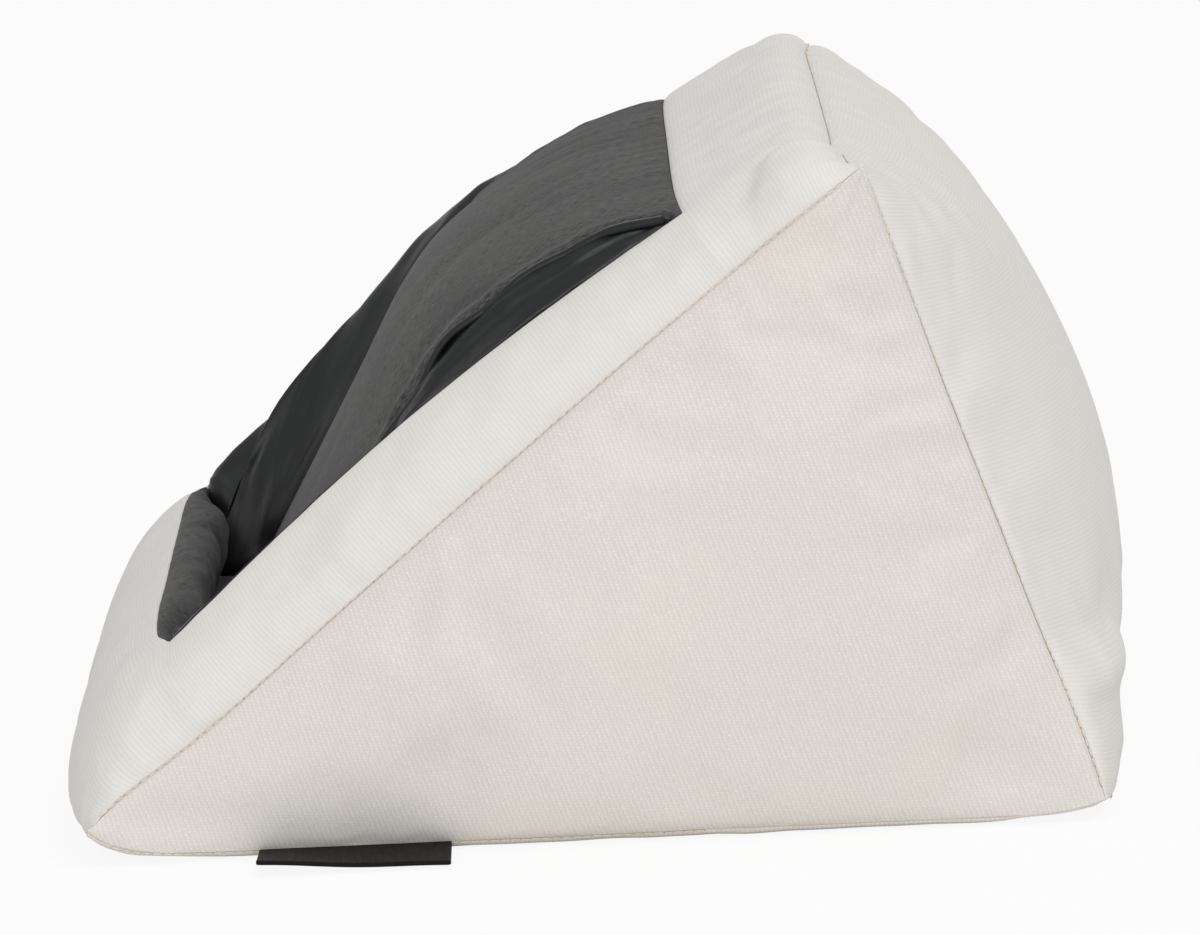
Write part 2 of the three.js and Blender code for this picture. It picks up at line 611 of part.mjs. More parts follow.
const archGeometry = () => {
  const half = ARCH_SPAN / 2;
  const s = new THREE.Shape();
  s.moveTo(-half, outerTop - 0.4);
  s.lineTo(-half, archInside);
  s.absarc(-half + ARCH_BAR, archInside, ARCH_BAR, Math.PI, Math.PI / 2, true);
  s.absarc(half - ARCH_BAR, archInside, ARCH_BAR, Math.PI / 2, 0, true);
  s.lineTo(half, outerTop - 0.4);
  s.lineTo(half - ARCH_BAR, outerTop - 0.4);
  s.lineTo(half - ARCH_BAR, archInside);
  s.lineTo(-half + ARCH_BAR, archInside);
  s.lineTo(-half + ARCH_BAR, outerTop - 0.4);
  const g = new THREE.ExtrudeGeometry(s, { depth: ARCH_WIDTH, bevelEnabled: false, curveSegments: 3 });
  g.translate(0, 0, -ARCH_WIDTH / 2);
  return g;
};
const NECK_LENGTH = 3;
const NECK_ROOT = 0.3; // of the neck in each plate
const sliderGeometry = () => {
  const neck = new THREE.BoxGeometry(NECK_LENGTH, outerLow - innerTop + 2 * NECK_ROOT, NECK);
  neck.translate(2, (outerLow + innerTop) / 2, 0);
  const pieces = [
    plate(SLIDER_LENGTH, SLIDER_WIDTH, PLATE, outerLow),
    plate(SLIDER_LENGTH * 0.85, SLIDER_WIDTH * 0.85, PLATE * 0.7, innerTop - PLATE * 0.7),
    neck,
    archGeometry(),
  ];
  return joined(pieces).translate(SLIDER_AT, 0, 0);
};
const pullGeometry = () => {
  const half = PULL_WIDTH / 2;
  const eye = ARCH_WIDTH / 2 + RUN_CLEARANCE;
  const clear = Math.hypot(ARCH_SPAN / 2, archInside + ARCH_BAR - hingeHeight) + RUN_CLEARANCE;
  const bar = PULL_THICK / 2;
  const s = new THREE.Shape();
  s.moveTo(bar, -eye - 1.1);
  s.lineTo(bar, eye + 1.1);
  s.lineTo(-clear, half * 0.7);
  s.lineTo(-PULL_LENGTH + half, half);
  s.absarc(-PULL_LENGTH + half, 0, half, Math.PI / 2, Math.PI * 1.5, false);
  s.lineTo(-clear, -half * 0.7);
  const hole = new THREE.Path();
  hole.moveTo(-bar, -eye);
  hole.lineTo(-clear, -eye);
  hole.lineTo(-clear, eye);
  hole.lineTo(-bar, eye);
  s.holes.push(hole);
  const g = new THREE.ExtrudeGeometry(s, { depth: PULL_THICK, bevelEnabled: false, curveSegments: 6 });
  g.rotateX(Math.PI / 2);
  g.translate(SLIDER_AT, hingeHeight + PULL_THICK / 2, 0);
  return g;
};
const inZip = (g) => g.translate(0, zipPlane, ZIP_HEIGHT);

// The assembly
const material = (color, roughness, metalness = 0) => {
  return new THREE.MeshStandardMaterial({ color, roughness, metalness });
};
const COVER = 0xdcd8cf;
const SIDE_COVER = 0xddd6cb;
const BASE_COVER = 0xcdc3b6;
const NAPPED_LINING = 0x4a4846;
const SMOOTH_LINING = 0x24272a;
const looks = {
  face_panel: material(COVER, 0.95),
  back_panel: material(COVER, 0.95),
  base_panel: material(BASE_COVER, 0.95),
  side_panel_left: material(SIDE_COVER, 0.95),
  side_panel_right: material(SIDE_COVER, 0.95),
  pocket_backrest: material(NAPPED_LINING, 0.7),
  pocket_lip_lining: material(NAPPED_LINING, 0.7),
  pocket_gusset_left: material(SMOOTH_LINING, 0.5),
  pocket_gusset_right: material(SMOOTH_LINING, 0.5),
};
const part = new THREE.Group();
part.name = "tablet_cushion_stand";
const add = (name, geometry, look) => {
  const g = geometry.index ? geometry.toNonIndexed() : geometry;
  g.computeVertexNormals();
  const mesh = new THREE.Mesh(g, look);
  mesh.name = name;
  part.add(mesh);
};
for (const [name, piece] of Object.entries(cloths)) add(name, panelSolid(piece, seams, CLOTH), looks[name]);
add("bead_fill", fillSolid(skin, seams, CLOTH + FILL_CLEARANCE), material(0xf2f0ea, 0.9));
add("side_label", labelGeometry(), material(0x101012, 0.45));
add("zip_tape_upper", inZip(tapeGeometry(1)), material(0xd6cfc2, 0.9));
add("zip_tape_lower", inZip(tapeGeometry(-1)), material(0xd6cfc2, 0.9));
add("zip_chain_upper", inZip(chainGeometry(1)), material(0xd9d3c8, 0.5));
add("zip_chain_lower", inZip(chainGeometry(-1)), material(0xd9d3c8, 0.5));
add("zip_stop_left", inZip(stopGeometry(1)), material(0xb9b7b2, 0.4, 1));
add("zip_stop_right", inZip(stopGeometry(-1)), material(0xb9b7b2, 0.4, 1));
add("zip_slider", inZip(sliderGeometry().rotateY(Math.PI)), material(0xb9b7b2, 0.35, 1));
add("zip_pull", inZip(pullGeometry().rotateY(Math.PI)), material(0xb9b7b2, 0.35, 1));

export default part;
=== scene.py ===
"""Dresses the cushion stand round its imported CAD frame: sewn cover, lined pocket, label and zip."""

import logging
import math
from dataclasses import astuple, dataclass, field
from enum import Enum
from typing import Callable

import bmesh
import bpy
import numpy as np
from mathutils import Matrix, Vector
from mathutils.kdtree import KDTree


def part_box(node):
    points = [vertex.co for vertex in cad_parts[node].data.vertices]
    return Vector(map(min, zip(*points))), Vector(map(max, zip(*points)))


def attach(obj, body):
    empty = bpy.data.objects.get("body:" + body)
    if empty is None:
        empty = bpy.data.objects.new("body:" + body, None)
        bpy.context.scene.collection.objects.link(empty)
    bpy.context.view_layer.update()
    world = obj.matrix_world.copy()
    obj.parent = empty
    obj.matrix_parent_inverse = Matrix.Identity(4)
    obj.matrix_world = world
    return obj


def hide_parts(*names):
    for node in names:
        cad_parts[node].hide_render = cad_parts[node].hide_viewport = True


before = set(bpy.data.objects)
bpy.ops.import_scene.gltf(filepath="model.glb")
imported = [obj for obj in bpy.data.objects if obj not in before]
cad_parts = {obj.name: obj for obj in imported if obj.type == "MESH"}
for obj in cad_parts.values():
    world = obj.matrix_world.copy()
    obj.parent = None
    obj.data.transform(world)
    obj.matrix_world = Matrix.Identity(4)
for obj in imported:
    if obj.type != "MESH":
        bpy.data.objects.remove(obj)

LOG = logging.getLogger("cushion")
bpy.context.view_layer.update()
PATTERN_MAP = "Pattern"
CUSHION = "cushion"
LEAD_IN = (0.0, 0.0004, 0.001, 0.0019, 0.0032, 0.005)
SLOPE_OUT = (0.0, -0.63, 0.78)
Socket = bpy.types.NodeSocket
Spot = tuple[float, float, float]
Slack = float | np.ndarray


class Hand(Enum):
    """The side of the cushion: the left one carries the label."""

    LEFT = 1
    RIGHT = -1


class SeamKind(Enum):
    """Where a border of a panel is sewn."""

    COVER = "cover"
    RIDGE = "ridge"
    OPENING = "opening"
    LINING = "lining"
    ZIP = "zip"


@dataclass(frozen=True)
class SeamStyle:
    """How a sewn border lies, in metres: its groove, the welt beside it, its puckers' height and reach."""

    depth: float
    width: float
    welt: float
    pucker: float
    reach: float


SEAM_STYLES = {
    SeamKind.COVER: SeamStyle(0.0005, 0.0018, 0.0002, 0.00045, 0.013),
    SeamKind.RIDGE: SeamStyle(0.0016, 0.0036, 0.0003, 0.00110, 0.034),
    SeamKind.OPENING: SeamStyle(0.0006, 0.0009, 0.0002, 0.00030, 0.009),
    SeamKind.LINING: SeamStyle(0.0016, 0.0014, 0.0010, 0.00050, 0.013),
    SeamKind.ZIP: SeamStyle(0.0006, 0.0009, 0.0002, 0.00015, 0.006),
}


def mix(low: np.ndarray, high: np.ndarray, share: np.ndarray) -> np.ndarray:
    """Goes from low to high by share."""
    return low + (high - low) * share


def smoothstep(value: np.ndarray, low: float, high: float) -> np.ndarray:
    """Rises smoothly from 0 at low to 1 at high."""
    share = np.clip((value - low) / (high - low), 0.0, 1.0)
    return share * share * (3.0 - 2.0 * share)


def bow(share: np.ndarray) -> np.ndarray:
    """A bow that is 0 at both ends and 1 in the middle."""
    return 4.0 * share * (1.0 - share)


def spaced(length: float, step: float, sewn: bool = True) -> np.ndarray:
    """Distances along a cloth, close together next to sewn ends.

    Args:
        length: whole distance in metres.
        step: spacing away from the ends.
        sewn: whether the ends are sewn.

    Returns:
        The distances from 0 to length.
    """
    lead = [d * min(1.0, 0.4 * length / LEAD_IN[-1]) for d in LEAD_IN] if sewn else [0.0]
    end = [length - d for d in reversed(lead)]
    count = max(2, round((end[0] - lead[-1]) / step) + 1)
    inner = np.linspace(lead[-1], end[0], count)[1:-1]
    return np.concatenate([lead, inner, end])


def ripple(points: np.ndarray, wavelength: float, seed: int, waves: int = 7) -> np.ndarray:
    """A soft uneven wave through space, about -1 to 1.

    Args:
        points: places to read it at, one row each.
        wavelength: rough distance between crests in metres.
        seed: fixes the directions and phases.
        waves: number of plain waves that are summed.

    Returns:
        One value for each point.
    """
    rng = np.random.default_rng(seed)
    turn = rng.normal(size=(waves, 3))
    turn /= np.linalg.norm(turn, axis=1, keepdims=True)
    pace = 2.0 * math.pi / wavelength * rng.uniform(0.7, 1.5, size=(waves, 1))
    phase = rng.uniform(0.0, 2.0 * math.pi, size=waves)
    return np.sin(points @ (turn * pace).T + phase).sum(axis=1) / math.sqrt(waves)


def run_lengths(points: np.ndarray) -> np.ndarray:
    """Distance from the first point to each, along a line of points or along every row of a grid."""
    steps = np.linalg.norm(np.diff(points, axis=-2), axis=-1)
    return np.concatenate([np.zeros_like(steps[..., :1]), np.cumsum(steps, axis=-1)], axis=-1)


def search_tree(points: np.ndarray, numbers: list[int] | None = None) -> KDTree:
    """Makes a tree that finds the nearest points.

    Args:
        points: the points, one row each.
        numbers: their numbers, where these are not simply 0, 1, 2 and so on.

    Returns:
        The tree.
    """
    tree = KDTree(len(points))
    for number, point in zip(numbers or range(len(points)), points):
        tree.insert(point, number)
    tree.balance()
    return tree


def grid_quads(number: np.ndarray) -> np.ndarray:
    """Four point numbers for each cell of a grid of point numbers."""
    return np.stack([number[:-1, :-1], number[:-1, 1:], number[1:, 1:], number[1:, :-1]], axis=-1)


def border_edges(faces: np.ndarray) -> list[tuple[int, int]]:
    """Edges that only one face has, in that face's direction."""
    sides = {(int(f[n]), int(f[(n + 1) % 4])) for f in faces for n in range(4)}
    return sorted((a, b) for a, b in sides if a != b and (b, a) not in sides)


class Profile:
    """A smooth line through points of the (y, z) plane; a station is a point's number, with fractions."""

    def __init__(self, points: list[np.ndarray]) -> None:
        """Keeps the points with one more beyond each end."""
        run = np.array(points, float)
        self.count = len(run)
        self.knots = np.vstack([2.0 * run[0] - run[1], run, 2.0 * run[-1] - run[-2]])

    def __call__(self, station: np.ndarray) -> np.ndarray:
        """Reads the line.

        Args:
            station: numbers of points, with fractions.

        Returns:
            The (y, z) places, with one more axis than station.
        """
        k = np.clip(np.asarray(station, float), 0.0, self.count - 1)
        i = np.minimum(k.astype(int), self.count - 2)
        t = (k - i)[..., None]
        p0, p1, p2, p3 = (self.knots[i + n] for n in range(4))
        steps = ((p0, p1), (p1, p2), (p2, p3))
        g0, g1, g2 = (np.sqrt(np.linalg.norm(b - a, axis=-1))[..., None] for a, b in steps)
        leave = ((p1 - p0) / g0 - (p2 - p0) / (g0 + g1) + (p2 - p1) / g1) * g1
        meet = ((p2 - p1) / g1 - (p3 - p1) / (g1 + g2) + (p3 - p2) / g2) * g1
        bend = 3.0 * (p2 - p1) - 2.0 * leave - meet
        twist = 2.0 * (p1 - p2) + leave + meet
        return p1 + leave * t + bend * t**2 + twist * t**3

    def lengths(self, stations: np.ndarray) -> np.ndarray:
        """Distance along the line from its start to each station."""
        fine = np.linspace(0.0, self.count - 1, 2400)
        return np.interp(stations, fine, run_lengths(self(fine)))

    def stations(self, start: float, stop: float, step: float, sewn: bool = True) -> np.ndarray:
        """Stations that are evenly spaced along the line.

        Args:
            start: first station.
            stop: last station.
            step: spacing in metres.
            sewn: whether they stand close together at both ends.

        Returns:
            The stations.
        """
        fine = np.linspace(start, stop, 1200)
        run = self.lengths(fine) - self.lengths(np.array([start]))
        return np.interp(spaced(run[-1], step, sewn), run, fine)


class EdgeFrame:
    """Distances along and above the straight line between two points of the (y, z) plane."""

    def __init__(self, start: tuple[float, float], end: tuple[float, float]) -> None:
        """Keeps the start, the direction and the upward normal."""
        self.start = np.array(start)
        run = np.array(end) - self.start
        self.length = float(np.linalg.norm(run))
        self.along = run / self.length
        self.up = np.array([-self.along[1], self.along[0]])
        if self.up[1] < 0.0:
            self.up = -self.up

    def at(self, along: np.ndarray, rise: np.ndarray) -> np.ndarray:
        """The point at a distance along the line and a height above it."""
        along = np.asarray(along, float)[..., None]
        rise = np.asarray(rise, float)[..., None]
        return self.start + along * self.along + rise * self.up


@dataclass
class Panel:
    """One cut piece of cloth: outer points, faces, places on the pattern, and each border point's seam."""

    name: str
    points: np.ndarray
    faces: np.ndarray
    pattern: np.ndarray
    seams: dict[int, SeamKind]
    edges: list[tuple[int, int]]

    def normals(self) -> np.ndarray:
        """The outward direction at each point."""
        a, b, c, d = (self.points[self.faces[:, n]] for n in range(4))
        across = np.cross(c - a, d - b)
        total = np.zeros_like(self.points)
        for n in range(4):
            np.add.at(total, self.faces[:, n], across)
        return total / np.maximum(np.linalg.norm(total, axis=1, keepdims=True), 1e-12)


SeamRule = Callable[[int, int], SeamKind]
Hole = tuple[int, int, int, int]


def cut_panel(
    name: str, points: np.ndarray, pattern: np.ndarray, facing: Spot, rule: SeamRule, hole: Hole | None = None
) -> Panel:
    """Cuts a panel from a grid of points.

    Args:
        name: the piece's name.
        points: rows and columns of places in metres.
        pattern: rows and columns of places on the flat cloth in metres.
        facing: a direction on the panel's outer side.
        rule: gives the seam of a border point from its row and column.
        hole: first row, last row, first column and last column of a cut-out.

    Returns:
        The panel, with points that coincide made one.
    """
    rows, columns = points.shape[:2]
    flat = points.reshape(-1, 3)
    _, first, same = np.unique(np.round(flat, 7), axis=0, return_index=True, return_inverse=True)
    number = first[same.ravel()].reshape(rows, columns)
    keep = np.ones((rows - 1, columns - 1), bool)
    if hole:
        keep[hole[0] : hole[1], hole[2] : hole[3]] = False
    quads = grid_quads(number)[keep]
    used = np.unique(quads)
    place = np.full(rows * columns, -1)
    place[used] = np.arange(len(used))
    panel = Panel(name, flat[used], place[quads], pattern.reshape(-1, 2)[used], {}, [])
    if float((panel.normals() @ np.array(facing)).sum()) < 0.0:
        panel.faces = panel.faces[:, ::-1]
    panel.edges = border_edges(panel.faces)
    for a, _ in panel.edges:
        i, j = divmod(int(used[a]), columns)
        panel.seams[a] = rule(i, j)
    return panel


@dataclass
class CushionForm:
    """The cushion's outline in metres, with the surfaces that its panels are cut from."""

    front_foot: tuple[float, float] = (-0.1395, 0.006)
    ear: tuple[float, float] = (0.072, 0.177)
    rear_foot: tuple[float, float] = (0.1305, 0.005)
    base_height: float = 0.0019
    slope_bow: float = 0.002
    front_lift: float = 0.004
    front_lift_share: float = 0.11
    ridge_setback: float = 0.0035
    half_width: float = 0.153
    corner_reach: float = 0.007
    side_crown: float = 0.012
    side_fullness: float = 2.3
    face_rise: float = 0.031
    back_rise: float = 0.0345
    toe_drop: float = 0.0025
    rear_reach: float = 0.0025
    opening_share: float = 0.855
    lip_setback: float = 0.0457
    top_setback: float = 0.0454
    pocket_draw: float = 0.015
    hump_setback: float = 0.106
    hump_rise: float = 0.0347
    hump_crown: float = 0.009
    trough_sink: float = 0.004
    lip_undercut: float = 0.011
    roll_taper: float = 0.85
    tuck: tuple[float, float] = (0.0020, 0.0007)
    tuck_share: float = 0.03
    base_fill: float = 0.0055
    corner_lift: float = 0.0025
    corner_run: float = 0.045
    far_gusset_puff: float = 0.015
    near_gusset_puff: float = 0.002
    chain_length: float = 0.138
    zip_margin: float = 0.0182
    zip_height: float = 0.0185
    zip_window: float = 0.015
    foot_reach: float = 0.0076
    zip_reach: float = 0.007
    base_curl: float = 0.012
    base_square: float = 30.0
    floor_gap: float = 0.0003
    edge_round: float = 7.0
    rim_round: float = 8.0
    back_round: float = 2.4
    foot_round: float = 5.0
    edge_full: float = 0.5
    back_full: float = 0.9
    foot_full: float = 0.55
    flat_run: float = 1.6
    flat_margin: float = 0.02
    flat_end: float = 0.78
    edge_blend: float = 0.16
    backrest_share: float = 8.0 / 14.0
    step: float = 0.0031
    lip_at: float = 4.0
    top_at: float = 6.0
    ridge_at: float = 9.0
    window_at: float = 7.0

    def __post_init__(self) -> None:
        """Lays out the frames along the slope and the back, and the middle profiles."""
        self.slope = EdgeFrame(self.front_foot, self.ear)
        self.back = EdgeFrame(self.ear, self.rear_foot)
        run = self.slope.length
        rise = self.face_rise
        lip, top = self.lip_setback, self.top_setback
        on = self.slope.at
        self.front_seam = np.array(self.front_foot) + (-0.001, -self.toe_drop)
        self.rear_seam = np.array(self.rear_foot) + (self.rear_reach, 0.001 - self.toe_drop)
        ridge = on(run - self.ridge_setback, 0.15 * rise)
        lip_edge = on(lip, 0.9 * rise)
        top_edge = on(run - top, 0.73 * rise)
        self.face_line = Profile(
            [
                self.front_seam,
                on(-0.0030, 0.28 * rise),
                on(0.29 * lip, 0.70 * rise),
                on(0.67 * lip, 0.895 * rise),
                lip_edge,
                on(0.5 * (lip + run - top), rise),
                top_edge,
                on(run - 0.52 * top, 0.58 * rise),
                on(run - 0.18 * top, 0.45 * rise),
                ridge,
            ]
        )
        self.front_corner = on(0.0, self.front_lift) + self.tuck
        self.zip_share = (0.5 * self.chain_length + self.zip_margin) / self.half_width
        self.zip_plane = self.rear_foot[0] + self.zip_reach
        foot_plane = self.rear_foot[0] + self.foot_reach
        bulge = ((0.05, 0.20), (0.195, 0.71), (0.385, 0.93), (0.57, 0.985), (0.75, 0.85), (0.845, 0.72))
        full = [self.back.at(a * self.back.length, r * self.back_rise) for a, r in bulge]
        window = [np.array([foot_plane, self.zip_height + s * self.zip_window / 2.0]) for s in (1, -1)]
        self.back_line = Profile([ridge, *full, *window, self.rear_seam])
        hump, crest = self.hump_setback, self.hump_rise
        self.backrest_line = Profile(
            [
                top_edge,
                on(run - 0.63 * hump, 0.88 * crest),
                on(run - hump, crest),
                on(run - 1.17 * hump, 0.93 * crest),
                on(mix(lip, run - hump, 0.6), 0.63 * crest),
                on(mix(lip, run - hump, 0.09), 0.0),
                on(lip - 0.002, -self.trough_sink),
            ]
        )
        under = self.lip_undercut
        self.lip_line = Profile(
            [
                on(lip - 0.002, -self.trough_sink),
                on(lip - under, 0.12 * rise),
                on(lip - 0.4 * under, 0.31 * rise),
                on(lip + 0.45 * under, 0.49 * rise),
                on(lip + 0.75 * under, 0.67 * rise),
                on(lip + 0.55 * under, 0.83 * rise),
                lip_edge,
            ]
        )

    def reach(self, share: np.ndarray) -> np.ndarray:
        """Half width of the cushion along a side seam."""
        return self.half_width + self.corner_reach * (2.0 * share - 1.0) ** 4

    def base_reach(self, share: np.ndarray) -> np.ndarray:
        """Half width along the base seam, where the weight of the fill spreads the cushion."""
        return self.reach(share) + self.base_fill * (1.0 - (2.0 * share - 1.0) ** 4)

    def slope_seam(self, share: np.ndarray) -> np.ndarray:
        """Points of the seam between face and side, front foot to ear."""
        lift = self.front_lift * np.exp(-((share / self.front_lift_share) ** 2))
        line = self.slope.at(share * self.slope.length, self.slope_bow * bow(share) + lift)
        line = line + np.exp(-((share / self.tuck_share) ** 2))[..., None] * self.tuck
        return np.concatenate([self.reach(share)[..., None], line], axis=-1)

    def back_seam(self, share: np.ndarray) -> np.ndarray:
        """Points of the seam between back and side, ear to rear foot."""
        line = self.back.at(share * self.back.length, 0.0 * share)
        return np.concatenate([self.reach(share)[..., None], line], axis=-1)

    def base_seam(self, share: np.ndarray) -> np.ndarray:
        """Points of the seam between base and side, rear foot to front foot."""
        share = np.asarray(share, float)
        line = mix(np.array(self.rear_foot), self.front_corner, share[..., None])
        line[..., 1] = mix(self.base_height, line[..., 1], (2.0 * share - 1.0) ** 16)
        return np.concatenate([self.base_reach(share)[..., None], line], axis=-1)

    def slope_share(self, k: np.ndarray) -> np.ndarray:
        """Share of the slope seam beside a station of the face."""
        run = self.slope.length
        low = self.lip_setback / run * k / self.lip_at
        beside = (k - self.lip_at) / (self.top_at - self.lip_at)
        middle = mix(self.lip_setback, run - self.top_setback, beside) / run
        high = mix(1.0 - self.top_setback / run, 1.0, (k - self.top_at) / (self.ridge_at - self.top_at))
        return np.where(k <= self.lip_at, low, np.where(k <= self.top_at, middle, high))

    def back_share(self, k: np.ndarray) -> np.ndarray:
        """Share of the back seam beside a station of the back."""
        drop = (self.ear[1] - self.back_line(k)[..., 1]) / (self.ear[1] - self.rear_foot[1])
        share = np.clip(0.97 * drop, 0.0, 1.0)
        return mix(share, 1.0, smoothstep(k, self.window_at + 1.0, self.window_at + 2.0))

    def across(
        self, seam: np.ndarray, middle: np.ndarray, v: np.ndarray, p: np.ndarray, q: np.ndarray
    ) -> np.ndarray:
        """Points of a band between its two seams.

        Args:
            seam: seam point of each row.
            middle: (y, z) of the middle of each row.
            v: place across, -1 to 1, for each row and column.
            p: roundness of each row.
            q: fullness of each row.

        Returns:
            Rows and columns of points.
        """
        full = np.maximum(0.0, 1.0 - np.abs(v) ** p[:, None]) ** q[:, None]
        line = mix(seam[:, None, 1:], middle[:, None, :], full[..., None])
        return np.concatenate([(v * seam[:, None, 0])[..., None], line], axis=-1)

    def face(self, k: np.ndarray, v: np.ndarray) -> np.ndarray:
        """Points of the face at stations k and places across v."""
        front = np.minimum(1.0, k / self.lip_at)
        top = smoothstep(k, self.top_at, self.ridge_at)
        p = mix(mix(self.edge_round, self.rim_round, front), self.edge_round, top)
        q = np.full(len(k), self.edge_full)
        return self.across(self.slope_seam(self.slope_share(k)), self.face_line(k), v, p, q)

    def back_face(self, k: np.ndarray, v: np.ndarray) -> np.ndarray:
        """Points of the back at stations k and places across v, flat round the zip."""
        upper = smoothstep(k, 0.0, 3.0)
        lower = smoothstep(k, 5.6, 6.7)
        p = mix(mix(self.edge_round, self.back_round, upper), self.foot_round, lower)
        q = mix(mix(self.edge_full, self.back_full, upper), self.foot_full, lower)
        middle = self.back_line(k)
        points = self.across(self.back_seam(self.back_share(k)), middle, v, p, q)
        at = self.window_at
        level = smoothstep(k, at - self.flat_run, at) * (1.0 - smoothstep(k, at + 1.0, at + 2.0))
        aside = smoothstep(np.abs(v), self.zip_share + self.flat_margin, self.flat_end)
        flat = level[:, None] * (1.0 - aside)
        points[..., 1] = mix(points[..., 1], self.zip_plane, flat)
        points[..., 2] = mix(points[..., 2], middle[:, None, 1], flat)
        return points

    def side(self, s: np.ndarray, t: np.ndarray) -> np.ndarray:
        """Points of a side on the left hand.

        Args:
            s: place from the slope seam to the back seam.
            t: place from the base seam to the ear.

        Returns:
            Rows along t and columns along s of points.
        """
        s, t = s[None, :], t[:, None]
        front = self.slope_seam(t)[..., 1:]
        rear = self.back_seam(1.0 - t)[..., 1:]
        yz = mix(front, rear, s[..., None])
        straight = mix(self.front_corner[1], self.rear_foot[1], s)
        low = (1.0 - t) ** 6
        yz[..., 1] += (self.base_seam(1.0 - s)[..., 2] - straight) * low
        edge = self.reach(t) + (self.base_reach(s) - self.reach(0.0 * s)) * low
        full = 27.0 * t * (1.0 - t) ** 2 * s * (1.0 - s)
        x = edge + self.side_crown * (1.0 - (1.0 - full) ** self.side_fullness)
        return np.concatenate([x[..., None], yz], axis=-1)

    def pocket(self, w: np.ndarray, v: np.ndarray) -> np.ndarray:
        """Points of the pocket's lining.

        Args:
            w: place down the pocket, 0 at the top edge and 1 at the lip.
            v: place across, -1 to 1.

        Returns:
            Rows and columns of points.
        """
        share = self.backrest_share
        b = np.minimum(w / share, 1.0)
        upper = self.backrest_line(6.0 * b)
        lower = self.lip_line(6.0 * np.clip((w - share) / (1.0 - share), 0.0, 1.0))
        line = np.where((w <= share)[:, None], upper, lower)
        half = self.half_width * self.opening_share - self.pocket_draw * np.sin(math.pi * w) ** 0.8
        crown = self.hump_crown * np.sin(math.pi * b) ** 1.2
        raised = (crown[:, None] * (1.0 - v**2))[..., None] * self.slope.up
        over = np.maximum(0.0, (line - self.slope.start) @ self.slope.along - self.lip_setback) * (w > share)
        taper = self.roll_taper * smoothstep(np.abs(v), 0.55, 1.0) * over[:, None]
        raised = raised - taper[..., None] * self.slope.along
        points = np.concatenate([(v * half[:, None])[..., None], line[:, None, :] + raised], axis=-1)
        for at, station in ((0.0, self.top_at), (1.0, self.lip_at)):
            rim = self.face(np.array([station]), self.opening_share * v[:1])
            raw = np.empty_like(rim)
            raw[..., 0] = v[:1] * half[np.argmin(np.abs(w - at))]
            raw[..., 1:] = self.face_line(np.array([station]))
            near = (1.0 - smoothstep(np.abs(w - at), 0.0, self.edge_blend))[:, None, None]
            points = points + near * (rim - raw)
        return points

    def pocket_edge(self, w: np.ndarray, hand: Hand) -> np.ndarray:
        """Points of the lining's edge beside a gusset."""
        return self.pocket(w, np.full((len(w), 1), float(hand.value)))[:, 0]

    def puff(self, w: np.ndarray, g: np.ndarray, hand: Hand) -> np.ndarray:
        """How far a slack gusset stands up.

        Args:
            w: places down the pocket.
            g: places from the rim inwards.
            hand: the gusset's side.

        Returns:
            Rows and columns of moves.
        """
        most = self.near_gusset_puff if hand is Hand.LEFT else self.far_gusset_puff
        fall = 1.0 - 0.75 * smoothstep(w, 0.52, 0.80)
        along = smoothstep(w, 0.05, 0.45) * fall * smoothstep(1.0 - w, 0.0, 0.2)
        height = most * along[:, None] * np.sin(math.pi * g[None, :] ** 0.75)
        return height[..., None] * np.array([0.25 * hand.value, *self.slope.up])

    def rim(self, w: np.ndarray, hand: Hand) -> np.ndarray:
        """Points of the opening's edge beside the pocket."""
        k = mix(self.top_at, self.lip_at, w)
        return self.face(k, np.full((len(w), 1), self.opening_share * hand.value))[:, 0]

    def rim_columns(self, surface: Callable, k: np.ndarray, inner: float, steps: int) -> np.ndarray:
        """Places across a rim that are evenly spaced along the cloth, close together at both edges.

        Args:
            surface: the surface to measure.
            k: stations of the rows.
            inner: place across of the inner edge.
            steps: number of even steps.

        Returns:
            Places across for each row, from the inner edge to the seam.
        """
        fine = mix(inner, 1.0, np.sin(np.linspace(0.0, math.pi / 2.0, 500)))
        places = []
        for row in run_lengths(surface(k, np.tile(fine, (len(k), 1)))):
            even = np.linspace(LEAD_IN[-1], row[-1] - LEAD_IN[-1], steps + 1)[1:-1]
            away = np.concatenate([LEAD_IN, even, [row[-1] - d for d in reversed(LEAD_IN)]])
            places.append(np.interp(away, row, fine))
        return np.array(places)


def across_rows(points: np.ndarray) -> np.ndarray:
    """Distance of each grid point along its row from the middle column."""
    run = run_lengths(points)
    return run - run[:, [points.shape[1] // 2]]


def windowed_rule(hole: Hole, window: SeamKind, ridge: int) -> SeamRule:
    """Makes the seam rule of a panel with a window.

    Args:
        hole: the window's rows and columns.
        window: the seam round the window.
        ridge: the row that lies on the ridge.

    Returns:
        The rule.
    """

    def rule(i: int, j: int) -> SeamKind:
        """The seam of a border point."""
        if hole[0] <= i <= hole[1] and hole[2] <= j <= hole[3]:
            return window
        return SeamKind.RIDGE if i == ridge else SeamKind.COVER

    return rule


def cover_rule(i: int, j: int) -> SeamKind:
    """The seam rule of a panel that is sewn into the cover all round."""
    return SeamKind.COVER


